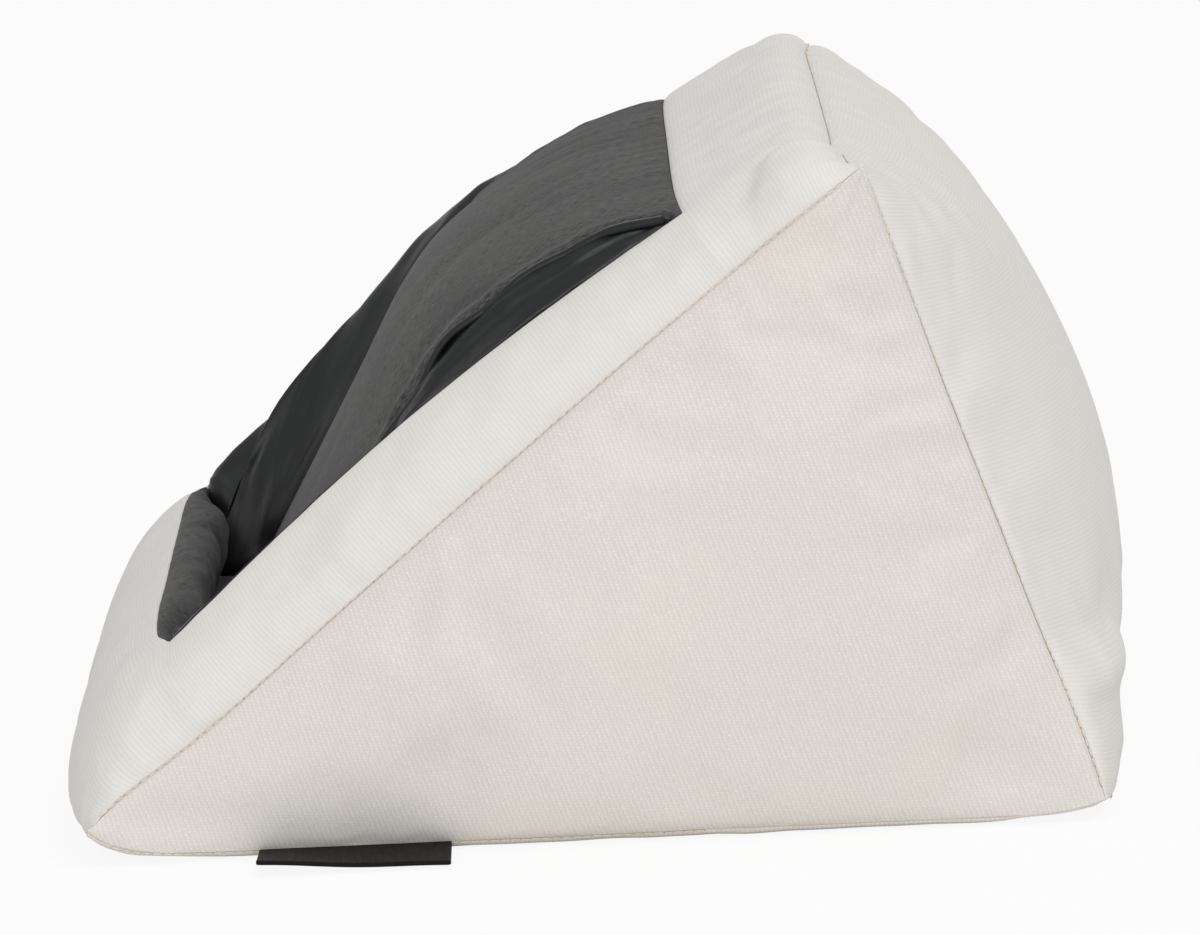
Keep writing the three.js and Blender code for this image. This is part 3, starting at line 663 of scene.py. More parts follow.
@dataclass
class PatternCutter:
    """Cuts every panel of the cover and of the pocket from the cushion's form."""

    form: CushionForm
    rim_steps: int = 11
    opening_columns: int = 86
    beside_zip_steps: int = 22
    zip_columns: int = 56
    side_depth: float = 0.23
    side_height: float = 0.22
    lining_half_width: float = 0.131
    gusset_length: float = 0.2
    gusset_width: float = 0.045
    gusset_cut: float = 0.04

    def _windowed(
        self, surface: Callable, line: Profile, stops: Spot, inner: float, steps: int, columns: int
    ) -> tuple[np.ndarray, np.ndarray, Hole]:
        """Lays out a grid with a window in it.

        Args:
            surface: gives points from stations and places across.
            line: the surface's middle profile.
            stops: stations of the window's first and last row and of the grid's last row.
            inner: place across of the window's edge.
            steps: even steps across a rim beside the window.
            columns: columns of the window.

        Returns:
            Stations of the rows, places across, and the window's rows and columns.
        """
        step = self.form.step
        above = line.stations(0.0, stops[0], step)
        beside = line.stations(stops[0], stops[1], step, sewn=False)
        below = line.stations(stops[1], stops[2], step)
        k = np.concatenate([above, beside[1:-1], below])
        rim = self.form.rim_columns(surface, k, inner, steps)
        middle = np.tile(np.linspace(-inner, inner, columns), (len(k), 1))
        v = np.concatenate([-rim[:, :0:-1], middle, rim[:, 1:]], axis=1)
        row, edge = len(above) - 1, rim.shape[1] - 1
        return k, v, (row, row + len(beside) - 1, edge, edge + columns - 1)

    def _laid_flat(
        self, points: np.ndarray, v: np.ndarray, k: np.ndarray, runs: tuple[np.ndarray, np.ndarray],
        level_at: float, sharpness: float,
    ) -> np.ndarray:
        """Lays a grid out on the flat cloth.

        Args:
            points: rows and columns of points.
            v: places across.
            k: stations of the rows.
            runs: distance of each row along the middle and along the seam.
            level_at: the station at which the ribs run straight across.
            sharpness: how close to the seam the ribs turn.

        Returns:
            Rows and columns of places on the cloth.
        """
        middle, seam = runs
        level = np.interp(level_at, k, middle) - np.interp(level_at, k, seam)
        down = mix(middle[:, None], (seam + level)[:, None], np.abs(v) ** sharpness)
        return np.stack([across_rows(points), down], axis=-1)

    def face(self) -> Panel:
        """The face: front, rims beside the opening, and top."""
        f = self.form
        stops = (f.lip_at, f.top_at, f.ridge_at)
        k, v, hole = self._windowed(
            f.face, f.face_line, stops, f.opening_share, self.rim_steps, self.opening_columns
        )
        points = f.face(k, v)
        runs = (f.face_line.lengths(k), f.slope_share(k) * f.slope.length)
        pattern = self._laid_flat(points, v, k, runs, 5.0, 6.0)
        rule = windowed_rule(hole, SeamKind.OPENING, len(k) - 1)
        return cut_panel("face_cloth", points, pattern, SLOPE_OUT, rule, hole)

    def back(self) -> Panel:
        """The back, with the window for the zip."""
        f = self.form
        stops = (f.window_at, f.window_at + 1.0, f.window_at + 2.0)
        k, v, hole = self._windowed(
            f.back_face, f.back_line, stops, f.zip_share, self.beside_zip_steps, self.zip_columns
        )
        points = f.back_face(k, v)
        runs = (f.back_line.lengths(k), f.back_share(k) * f.back.length)
        pattern = self._laid_flat(points, v, k, runs, 3.0, 3.0)
        rule = windowed_rule(hole, SeamKind.ZIP, 0)
        return cut_panel("back_cloth", points, pattern, (0.0, 0.95, 0.32), rule, hole)

    def zip_patch(self) -> Panel:
        """The flat behind the zip, which closes the skin for the simulation and is not kept."""
        f = self.form
        k = f.back_line.stations(f.window_at, f.window_at + 1.0, f.step, sewn=False)
        v = np.tile(np.linspace(-f.zip_share, f.zip_share, self.zip_columns), (len(k), 1))
        points = f.back_face(k, v)
        return cut_panel("zip_patch", points, points[..., :2], (0.0, 1.0, 0.0), lambda i, j: SeamKind.ZIP)

    def side(self, hand: Hand) -> Panel:
        """A side: a triangle between the slope, the back and the base."""
        f = self.form
        s = spaced(self.side_depth, f.step) / self.side_depth
        t = spaced(self.side_height, f.step) / self.side_height
        points = f.side(s, t) * (hand.value, 1.0, 1.0)
        yz = points[..., 1:]
        pattern = np.stack([yz @ f.back.along, yz @ f.back.up], axis=-1)
        name = f"side_cloth_{hand.name.lower()}"
        return cut_panel(name, points, pattern, (hand.value, 0.0, 0.0), cover_rule)

    def base(self) -> Panel:
        """The base: flat, and curled up to its seams."""
        f = self.form
        depth = f.rear_seam[0] - f.front_seam[0]
        away = spaced(depth, 2.0 * f.step)
        share = away / depth
        end = np.minimum(away, depth - away)
        lift = (1.0 - smoothstep(end, 0.0, f.base_curl)) * mix(f.rear_seam[1], f.front_seam[1], share)
        middle = np.stack([f.rear_seam[0] - away, lift], axis=-1)
        v = spaced(2.0 * f.half_width, 2.0 * f.step) / f.half_width - 1.0
        v = np.tile(v, (len(away), 1))
        square, full = np.full(len(away), f.base_square), np.full(len(away), f.edge_full)
        points = f.across(f.base_seam(share), middle, v, square, full)
        ends = f.back_face(np.array([f.window_at + 2.0]), v[:1]), f.face(np.array([0.0]), v[:1])
        for row, edge in ((0, ends[0]), (-1, ends[1])):
            near = (1.0 - smoothstep(np.abs(away - away[row]), 0.0, f.base_curl))[:, None, None]
            points = points + near * (edge - points[row])
        corner = smoothstep(np.abs(v), 0.82, 0.97) * (1.0 - smoothstep(end, 0.0, f.corner_run))[:, None]
        points[..., 2] = np.maximum(points[..., 2], f.floor_gap + f.corner_lift * corner)
        return cut_panel("base_cloth", points, points[..., :2].copy(), (0.0, 0.0, -1.0), cover_rule)

    def _lining(self, name: str, w: np.ndarray, facing: Spot, rim_row: int) -> Panel:
        """A lining across the pocket.

        Args:
            name: the piece's name.
            w: rows, by place down the pocket.
            facing: a direction on its outer side.
            rim_row: the row that is sewn to the opening's edge.

        Returns:
            The panel.
        """
        half = self.lining_half_width
        v = spaced(2.0 * half, self.form.step) / half - 1.0
        points = self.form.pocket(w, np.tile(v, (len(w), 1)))
        run = run_lengths(points[:, len(v) // 2])
        pattern = np.stack(np.broadcast_arrays(points[..., 0], run[:, None]), axis=-1)

        def rule(i: int, j: int) -> SeamKind:
            """The seam of a border point."""
            return SeamKind.OPENING if i == rim_row else SeamKind.LINING

        return cut_panel(name, points, pattern, facing, rule)

    def backrest(self) -> Panel:
        """The lining over the pillow."""
        f = self.form
        b = f.backrest_line.stations(0.0, 6.0, f.step) / 6.0
        return self._lining("pocket_backrest_lining", f.backrest_share * b, SLOPE_OUT, 0)

    def lip(self) -> Panel:
        """The lining that rolls over the lip and makes the trough."""
        f = self.form
        c = f.lip_line.stations(0.0, 6.0, 0.8 * f.step) / 6.0
        w = mix(f.backrest_share, 1.0, c)
        return self._lining("pocket_lip_roll", w, (0.0, 0.78, 0.63), len(w) - 1)

    def gusset(self, hand: Hand) -> Panel:
        """The lining between the opening's edge and the backrest."""
        f = self.form
        w = spaced(self.gusset_length, f.step) / self.gusset_length
        g = spaced(self.gusset_width, f.step) / self.gusset_width
        rim = f.rim(w, hand)
        edge = f.pocket_edge(w, hand)
        points = mix(rim[:, None], edge[:, None], g[None, :, None]) + f.puff(w, g, hand)
        cut = np.broadcast_arrays((self.gusset_length * w)[:, None], self.gusset_cut * g)

        def rule(i: int, j: int) -> SeamKind:
            """The seam of a border point."""
            return SeamKind.OPENING if j == 0 else SeamKind.LINING

        name = f"pocket_gusset_lining_{hand.name.lower()}"
        return cut_panel(name, points, np.stack(cut, axis=-1), (-hand.value, 0.0, 0.6), rule)


class DriftField:
    """How far the simulated cover moved, read at any place by its nearest points."""

    NEAREST = 6
    SOFTENING = 4e-6

    def __init__(self, places: np.ndarray, moves: np.ndarray) -> None:
        """Keeps the places and moves in a search tree."""
        self.moves = moves
        self.tree = search_tree(places)

    def at(self, points: np.ndarray) -> np.ndarray:
        """The move at each point, weighted from the nearest places."""
        moved = np.zeros_like(points)
        for n, p in enumerate(points):
            found = self.tree.find_n(p, self.NEAREST)
            weight = np.array([1.0 / (d * d + self.SOFTENING) for _, _, d in found])
            near = self.moves[[i for _, i, _ in found]]
            moved[n] = weight @ near / weight.sum()
        return moved


def add_object(name: str, data: bpy.types.ID) -> bpy.types.Object:
    """Adds an object to the scene."""
    piece = bpy.data.objects.new(name, data)
    bpy.context.scene.collection.objects.link(piece)
    return piece


def applied(piece: bpy.types.Object) -> bpy.types.Mesh:
    """A plain mesh of an object with its modifiers applied."""
    return bpy.data.meshes.new_from_object(piece.evaluated_get(bpy.context.evaluated_depsgraph_get()))


def read_points(mesh: bpy.types.Mesh, what: str = "co") -> np.ndarray:
    """Reads a mesh's points.

    Args:
        mesh: the mesh.
        what: "co" for places or "normal" for directions.

    Returns:
        One row for each point.
    """
    values = np.zeros(len(mesh.vertices) * 3)
    mesh.vertices.foreach_get(what, values)
    return values.reshape(-1, 3)


def closed_skin(panels: list[Panel], voxel: float) -> bpy.types.Object:
    """Makes one closed skin round the whole cushion.

    Args:
        panels: the panels, which close the skin together.
        voxel: size of the skin's even cells.

    Returns:
        The skin, as an object of the scene.
    """
    points, faces, start = [], [], 0
    for panel in panels:
        points.append(panel.points)
        faces += [list(dict.fromkeys(f)) for f in (panel.faces + start).tolist()]
        start += len(panel.points)
    mesh = bpy.data.meshes.new("cover_skin")
    mesh.from_pydata(np.vstack(points).tolist(), [], [f for f in faces if len(f) > 2])
    skin = add_object("cover_skin", mesh)
    remesh = skin.modifiers.new("Even cells", "REMESH")
    remesh.mode = "VOXEL"
    remesh.voxel_size = voxel
    even = applied(skin)
    skin.modifiers.clear()
    skin.data = even
    return skin


@dataclass
class CoverSimulation:
    """Cloth simulation of the whole sewn cover: it swells on its fill and puckers along its pinned seams."""

    voxel: float = 0.005
    pressure: float = 4.0
    frames: int = 20
    slack: float = 0.03
    pin_reach: float = 0.006
    pin_firm: float = 0.6
    table_reach: float = 0.004
    cap: float = 0.0042
    swell_kept: float = 0.12
    smoothing: int = 55

    def run(self, panels: list[Panel]) -> DriftField:
        """Simulates the cover.

        Args:
            panels: every panel of the closed skin.

        Returns:
            The moves, without the even swelling that the CAD form already has.
        """
        skin = closed_skin(panels, self.voxel)
        rest = read_points(skin.data)
        self._pin(skin, rest, panels)
        self._cloth(skin)
        scene = bpy.context.scene
        for step in range(1, self.frames + 1):
            scene.frame_set(step)
        view = bpy.context.evaluated_depsgraph_get()
        moves = read_points(skin.evaluated_get(view).data) - rest
        scene.frame_set(1)
        sides = np.zeros(len(skin.data.edges) * 2, int)
        skin.data.edges.foreach_get("vertices", sides)
        even = self._smoothed(moves, sides.reshape(-1, 2))
        self._report("moved by", moves)
        kept = moves - (1.0 - self.swell_kept) * even
        size = np.maximum(np.linalg.norm(kept, axis=1, keepdims=True), 1e-9)
        kept *= self.cap * np.tanh(size / self.cap) / size
        self._report("kept folds of", kept)
        bpy.data.objects.remove(skin)
        return DriftField(rest, kept)

    def _report(self, what: str, moves: np.ndarray) -> None:
        """Reports the size of the moves."""
        size = 1000.0 * np.linalg.norm(moves, axis=1)
        LOG.info("cover simulation: %s up to %.2f mm, %.2f mm on average", what, size.max(), size.mean())

    def _pin(self, skin: bpy.types.Object, rest: np.ndarray, panels: list[Panel]) -> None:
        """Holds the seams and the base still."""
        tree = search_tree(np.vstack([p.points[list(p.seams)] for p in panels]))
        group = skin.vertex_groups.new(name="sewn")
        for n, p in enumerate(rest):
            away = tree.find(p)[2]
            held = 1.0 - min(1.0, max(0.0, (away - self.pin_firm * self.pin_reach) / self.pin_reach))
            if p[2] < self.table_reach:
                held = 1.0
            group.add([n], held, "REPLACE")

    def _cloth(self, skin: bpy.types.Object) -> None:
        """Puts cloth with pressure and slack on the skin."""
        cloth = skin.modifiers.new("Cloth", "CLOTH")
        settings = cloth.settings
        settings.quality = 6
        settings.mass = 0.15
        settings.tension_stiffness = 12.0
        settings.compression_stiffness = 12.0
        settings.shear_stiffness = 6.0
        settings.bending_stiffness = 0.15
        settings.use_pressure = True
        settings.uniform_pressure_force = self.pressure
        settings.shrink_min = -self.slack
        settings.effector_weights.gravity = 0.0
        settings.vertex_group_mass = "sewn"
        cloth.point_cache.frame_start = 1
        cloth.point_cache.frame_end = self.frames

    def _smoothed(self, moves: np.ndarray, sides: np.ndarray) -> np.ndarray:
        """The slow part of the moves, averaged over neighbours many times."""
        even = moves.copy()
        degree = np.bincount(sides.ravel(), minlength=len(moves))[:, None].clip(1)
        for _ in range(self.smoothing):
            total = np.zeros_like(even)
            np.add.at(total, sides[:, 0], even[sides[:, 1]])
            np.add.at(total, sides[:, 1], even[sides[:, 0]])
            even = 0.5 * even + 0.5 * total / degree
        return even


@dataclass(frozen=True)
class Crease:
    """A soft fold or dent along a line: its half width, and its height along the cloth's normal."""

    start: Spot
    end: Spot
    width: float
    height: float

    def lift(self, points: np.ndarray) -> np.ndarray:
        """How far the crease lifts each point."""
        a, b = np.array(self.start), np.array(self.end)
        run = b - a
        share = np.clip(((points - a) @ run) / (run @ run), 0.0, 1.0)
        away = np.linalg.norm(points - a - share[:, None] * run, axis=1)
        fade = np.sin(math.pi * np.clip(share * 0.9 + 0.05, 0.0, 1.0))
        return self.height * fade * np.exp(-((away / self.width) ** 2))


@dataclass(frozen=True)
class Ease:
    """A soft pull on all the cloth round a point."""

    centre: Spot
    shift: Spot
    reach: float

    def move(self, points: np.ndarray) -> np.ndarray:
        """How far it moves each point."""
        away = np.linalg.norm(points - np.array(self.centre), axis=1)
        return np.exp(-((away / self.reach) ** 2))[:, None] * np.array(self.shift)


def eases(form: CushionForm) -> list[Ease]:
    """The pulls: round corners at the opening's lip and at the rear feet, and a far ear drawn in."""
    pulls = []
    for hand in Hand:
        corner = form.face(np.array([form.lip_at]), np.array([[form.opening_share * hand.value]]))[0, 0]
        pull = np.array([-0.0008 * hand.value, *(0.0026 * form.slope.along)])
        pulls.append(Ease(tuple(corner), tuple(pull), 0.007))
        foot = form.back_seam(np.array(1.0)) * (hand.value, 1.0, 1.0)
        pulls.append(Ease(tuple(foot), (-0.0004 * hand.value, -0.0008, 0.0006), 0.009))
    tip = form.slope_seam(np.array(1.0)) * (Hand.RIGHT.value, 1.0, 1.0)
    pulls.append(Ease(tuple(tip), (0.0020, -0.0022, -0.0036), 0.013))
    return pulls


@dataclass
class Tailor:
    """Sews the panels: shared borders, puckers, rolled edges, and the cloth's thickness."""

    panels: list[Panel]
    drift: DriftField
    eases: list[Ease]
    meet_reach: float = 0.003
    pucker_pitch: float = 0.0105
    pucker_start: float = 0.002
    welt_away: float = 0.0045
    welt_width: float = 0.0028
    lift_turn: float = 0.012
    hem_turn: float = 0.006

    def __post_init__(self) -> None:
        """Finds the direction in which the panels on each seam turn in together."""
        self.trees: dict[str, KDTree] = {}
        self.outward: dict[str, np.ndarray] = {}
        for panel in self.panels:
            held = list(panel.seams)
            self.trees[panel.name] = search_tree(panel.points[held], held)
            self.outward[panel.name] = panel.normals()
        self.mitres = {panel.name: self._mitre(panel) for panel in self.panels}

    def _mitre(self, panel: Panel) -> dict[int, np.ndarray]:
        """Shared outward direction at each border point of a panel."""
        shared = {}
        for n in panel.seams:
            total = self.outward[panel.name][n].copy()
            for other in self.panels:
                if other.name == panel.name:
                    continue
                _, near, away = self.trees[other.name].find(panel.points[n])
                if away < self.meet_reach:
                    total += self.outward[other.name][near]
            shared[n] = total / max(np.linalg.norm(total), 1e-9)
        return shared

    def eased(self, points: np.ndarray) -> np.ndarray:
        """How far all the pulls together move each point."""
        return sum((ease.move(points) for ease in self.eases), np.zeros_like(points))

    def sew(
        self, panel: Panel, thickness: float, creases: list[Crease], slack: Slack
    ) -> tuple[np.ndarray, np.ndarray]:
        """Moves a panel's points to where the sewn cloth lies.

        Args:
            panel: the panel.
            thickness: the cloth's thickness in metres.
            creases: folds and dents of its own.
            slack: how strongly it takes the simulated folds, for all points or for each.

        Returns:
            The outer and the inner points.
        """
        normal = self.outward[panel.name]
        mitre = self.mitres[panel.name]
        tree = self.trees[panel.name]
        near = [tree.find(p) for p in panel.points]
        away = np.array([d for _, _, d in near])
        held = np.array([i for _, i, _ in near])
        seam_at = panel.points[held]
        inward = np.array([mitre[int(i)] for i in held])
        styles = [SEAM_STYLES[panel.seams[int(i)]] for i in held]
        depth, width, welt, pucker, reach = np.array([astuple(s) for s in styles]).T
        folds = np.reshape(slack, (-1, 1)) * self.drift.at(panel.points)
        outer = panel.points + folds + self.eased(panel.points)
        lift = pucker * ripple(seam_at, self.pucker_pitch, 5) * np.exp(-away / reach)
        lift *= smoothstep(away, 0.0, self.pucker_start)
        lift += welt * np.exp(-(((away - self.welt_away) / self.welt_width) ** 2))
        for crease in creases:
            lift += crease.lift(panel.points)
        ahead = mix(inward, normal, smoothstep(away, 0.0, self.lift_turn)[:, None])
        outer += lift[:, None] * ahead / np.maximum(np.linalg.norm(ahead, axis=1, keepdims=True), 1e-9)
        outer -= (depth * np.exp(-((away / width) ** 1.5)))[:, None] * inward
        turn = mix(inward, normal, smoothstep(away, 0.0, self.hem_turn)[:, None])
        turn /= np.maximum(np.linalg.norm(turn, axis=1, keepdims=True), 1e-9)
        return outer, outer - thickness * turn

    def make(self, panel: Panel, thickness: float, creases: list[Crease], slack: Slack) -> bpy.types.Object:
        """Makes the finished piece of a panel, closed and with its pattern map."""
        outer, inner = self.sew(panel, thickness, creases, slack)
        return close_cloth(panel.name, outer, inner, panel.faces, panel.edges, panel.pattern)

    def groove(self, line: np.ndarray, panel: Panel, lift: float, creases: list[Crease]) -> np.ndarray:
        """Lays a line into the groove of a panel's seam.

        Args:
            line: points on the seam.
            panel: a panel that is sewn there.
            lift: height above the groove's bottom in metres.
            creases: folds and dents that the seam crosses.

        Returns:
            The points in the groove.
        """
        laid = line + self.drift.at(line) + self.eased(line)
        dents = sum((crease.lift(line) for crease in creases), np.zeros(len(line)))
        for n, p in enumerate(line):
            near = self.trees[panel.name].find(p)[1]
            depth = SEAM_STYLES[panel.seams[near]].depth
            laid[n] -= (depth - lift - dents[n]) * self.mitres[panel.name][near]
        return laid


def close_cloth(
    name: str, outer: np.ndarray, inner: np.ndarray, faces: np.ndarray, edges: list[tuple[int, int]],
    pattern: np.ndarray,
) -> bpy.types.Object:
    """Makes a closed piece of cloth from its two sides.

    Args:
        name: the piece's name.
        outer: points of the outer side.
        inner: points of the inner side.
        faces: four point numbers for each face of the outer side.
        edges: border edges of the outer side, in the faces' direction.
        pattern: place of each point on the flat cloth.

    Returns:
        The object, with one subdivision.
    """
    count = len(outer)
    shown = [list(dict.fromkeys(f)) for f in faces.tolist()]
    shown = [f for f in shown if len(f) > 2]
    back = [[n + count for n in reversed(f)] for f in shown]
    hem = [[b, a, a + count, b + count] for a, b in edges]
    return make_piece(name, np.vstack([outer, inner]), shown + back + hem, np.vstack([pattern] * 2), 1)


def ribbon(name: str, outer: np.ndarray, inner: np.ndarray, pattern: np.ndarray) -> bpy.types.Object:
    """Makes a closed ribbon.

    Args:
        name: the piece's name.
        outer: rows and columns of points of its outer side.
        inner: the same of its inner side.
        pattern: place of each on the flat ribbon.

    Returns:
        The object.
    """
    rows, columns = outer.shape[:2]
    number = np.arange(rows * columns).reshape(rows, columns)
    faces = grid_quads(number).reshape(-1, 4)
    top, under = outer.reshape(-1, 3), inner.reshape(-1, 3)
    a, b, c = (top[faces[:, n]] for n in (0, 1, 2))
    out = ((top - under)[faces[:, 0]] * np.cross(b - a, c - a)).sum()
    faces = faces if out > 0.0 else faces[:, ::-1]
    return close_cloth(name, top, under, faces, border_edges(faces), pattern.reshape(-1, 2))


def bevelled(node: str, name: str, width: float) -> bpy.types.Object:
    """Makes a copy of a rigid CAD node with softened edges.

    Args:
        node: the CAD node.
        name: the piece's name.
        width: width of the softened edge in metres.

    Returns:
        The object.
    """
    shape = bmesh.new()
    shape.from_mesh(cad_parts[node].data)
    bmesh.ops.remove_doubles(shape, verts=shape.verts, dist=1e-6)
    bmesh.ops.dissolve_limit(shape, angle_limit=math.radians(1.0), verts=shape.verts, edges=shape.edges)
    mesh = bpy.data.meshes.new(name)
    shape.to_mesh(mesh)
    shape.free()
    mesh.shade_smooth()
    piece = add_object(name, mesh)
    edge = piece.modifiers.new("Edge", "BEVEL")
    edge.width = width
    edge.segments = 2
    edge.limit_method = "ANGLE"
    edge.angle_limit = math.radians(35.0)
    edge.harden_normals = True
    return piece


def make_piece(
    name: str, points: np.ndarray, faces: list[list[int]], pattern: np.ndarray | None = None, levels: int = 0
) -> bpy.types.Object:
    """Makes a smooth mesh object in the scene.

    Args:
        name: the piece's name.
        points: places in metres.
        faces: point numbers of each face, outward.
        pattern: place of each point on the flat cloth.
        levels: subdivision levels.

    Returns:
        The object.
    """
    mesh = bpy.data.meshes.new(name)
    mesh.from_pydata(np.asarray(points).tolist(), [], faces)
    mesh.shade_smooth()
    if pattern is not None:
        layer = mesh.uv_layers.new(name=PATTERN_MAP)
        corners = np.zeros(len(mesh.loops), int)
        mesh.loops.foreach_get("vertex_index", corners)
        layer.data.foreach_set("uv", pattern[corners].astype(np.float32).ravel())
    piece = add_object(name, mesh)
    if levels:
        soft = piece.modifiers.new("Soft", "SUBSURF")
        soft.levels = levels
        soft.render_levels = levels
    return piece


def place(
    piece: bpy.types.Object, body: str, slot: str, nodes: tuple[str, ...], finish: bpy.types.Material
) -> None:
    """Gives a piece its finish and body, and hides the CAD nodes that it stands for.

    Args:
        piece: the finished object.
        body: the CAD body that it moves with.
        slot: the record's material slot; not used.
        nodes: CAD nodes that it replaces.
        finish: its material.
    """
    piece.data.materials.clear()
    piece.data.materials.append(finish)
    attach(piece, body)
    if nodes:
        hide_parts(*nodes)
    LOG.info("%s: %d faces on %s", piece.name, len(piece.data.polygons), body)


class NodeDesk:
    """Adds and links the nodes of one tree."""

    def __init__(self, tree: bpy.types.NodeTree) -> None:
        """Keeps the tree."""
        self.tree = tree

    def add(self, kind: str, feeds: dict | None = None, **settings: object) -> bpy.types.Node:
        """Adds a node.

        Args:
            kind: the node's type.
            feeds: sockets to link, or constants to set, by the input's name or number.
            settings: the node's own properties.

        Returns:
            The node.
        """
        node = self.tree.nodes.new(kind)
        for name, value in settings.items():
            setattr(node, name, value)
        self.feed(node, feeds or {})
        return node

    def feed(self, node: bpy.types.Node, feeds: dict) -> None:
        """Links sockets to a node's inputs, or sets constants, by the input's name or number."""
        for key, value in feeds.items():
            if isinstance(value, Socket):
                self.tree.links.new(value, node.inputs[key])
            else:
                node.inputs[key].default_value = value

    def math(self, operation: str, first: Socket | float, second: Socket | float = 0.0) -> Socket:
        """Adds a sum of two values."""
        return self.add("ShaderNodeMath", {0: first, 1: second}, operation=operation).outputs[0]

    def wave(self, phase: Socket) -> Socket:
        """A wave from 0 to 1, once for each whole number of phase."""
        swing = self.math("SINE", self.math("MULTIPLY", phase, 2.0 * math.pi))
        return self.math("ADD", self.math("MULTIPLY", swing, 0.5), 0.5)

    def ramp(self, value: Socket, low: float, high: float, start: float = 0.0, end: float = 1.0) -> Socket:
        """Maps a value from low..high to start..end, held at both ends."""
        feeds = {"Value": value, "From Min": low, "From Max": high, "To Min": start, "To Max": end}
        return self.add("ShaderNodeMapRange", feeds, clamp=True).outputs[0]

    def blend(self, share: Socket | float, first: Socket | tuple, second: Socket | tuple) -> Socket:
        """Mixes two colours."""
        return self.add("ShaderNodeMix", {0: share, 6: first, 7: second}, data_type="RGBA").outputs[2]

    def noise(
        self, where: Socket, scale: Socket | float, detail: float = 3.0, roughness: float = 0.55
    ) -> Socket:
        """A noise from 0 to 1."""
        feeds = {"Vector": where, "Scale": scale, "Detail": detail, "Roughness": roughness}
        return self.add("ShaderNodeTexNoise", feeds).outputs[0]

    def bump(self, height: Socket, strength: float, depth: float) -> Socket:
        """A fine relief, as a normal."""
        feeds = {"Height": height, "Strength": strength, "Distance": depth}
        return self.add("ShaderNodeBump", feeds).outputs[0]


TreeParts = tuple[NodeDesk, dict[str, Socket], bpy.types.Node]


def rgb(code: str) -> tuple[float, float, float, float]:
    """Linear colour of a hexadecimal screen colour."""
    channels = [int(code[n : n + 2], 16) / 255.0 for n in (0, 2, 4)]
    linear = [c / 12.92 if c <= 0.04045 else ((c + 0.055) / 1.055) ** 2.4 for c in channels]
    return (*linear, 1.0)


def shader_group(name: str, inputs: dict[str, float | None], outputs: list[str]) -> TreeParts:
    """Starts a shader node group.

    Args:
        name: the group's name.
        inputs: its inputs with their usual values; None is a vector.
        outputs: names of the values that it puts out.

    Returns:
        A desk for its nodes, its input sockets by name, and its output node.
    """
    tree = bpy.data.node_groups.new(name, "ShaderNodeTree")
    for key, value in inputs.items():
        kind = "NodeSocketVector" if value is None else "NodeSocketFloat"
        socket = tree.interface.new_socket(name=key, in_out="INPUT", socket_type=kind)
        if value is not None:
            socket.default_value = value
    for key in outputs:
        tree.interface.new_socket(name=key, in_out="OUTPUT", socket_type="NodeSocketFloat")
    desk = NodeDesk(tree)
    start = desk.add("NodeGroupInput")
    return desk, {key: start.outputs[key] for key in inputs}, desk.add("NodeGroupOutput")


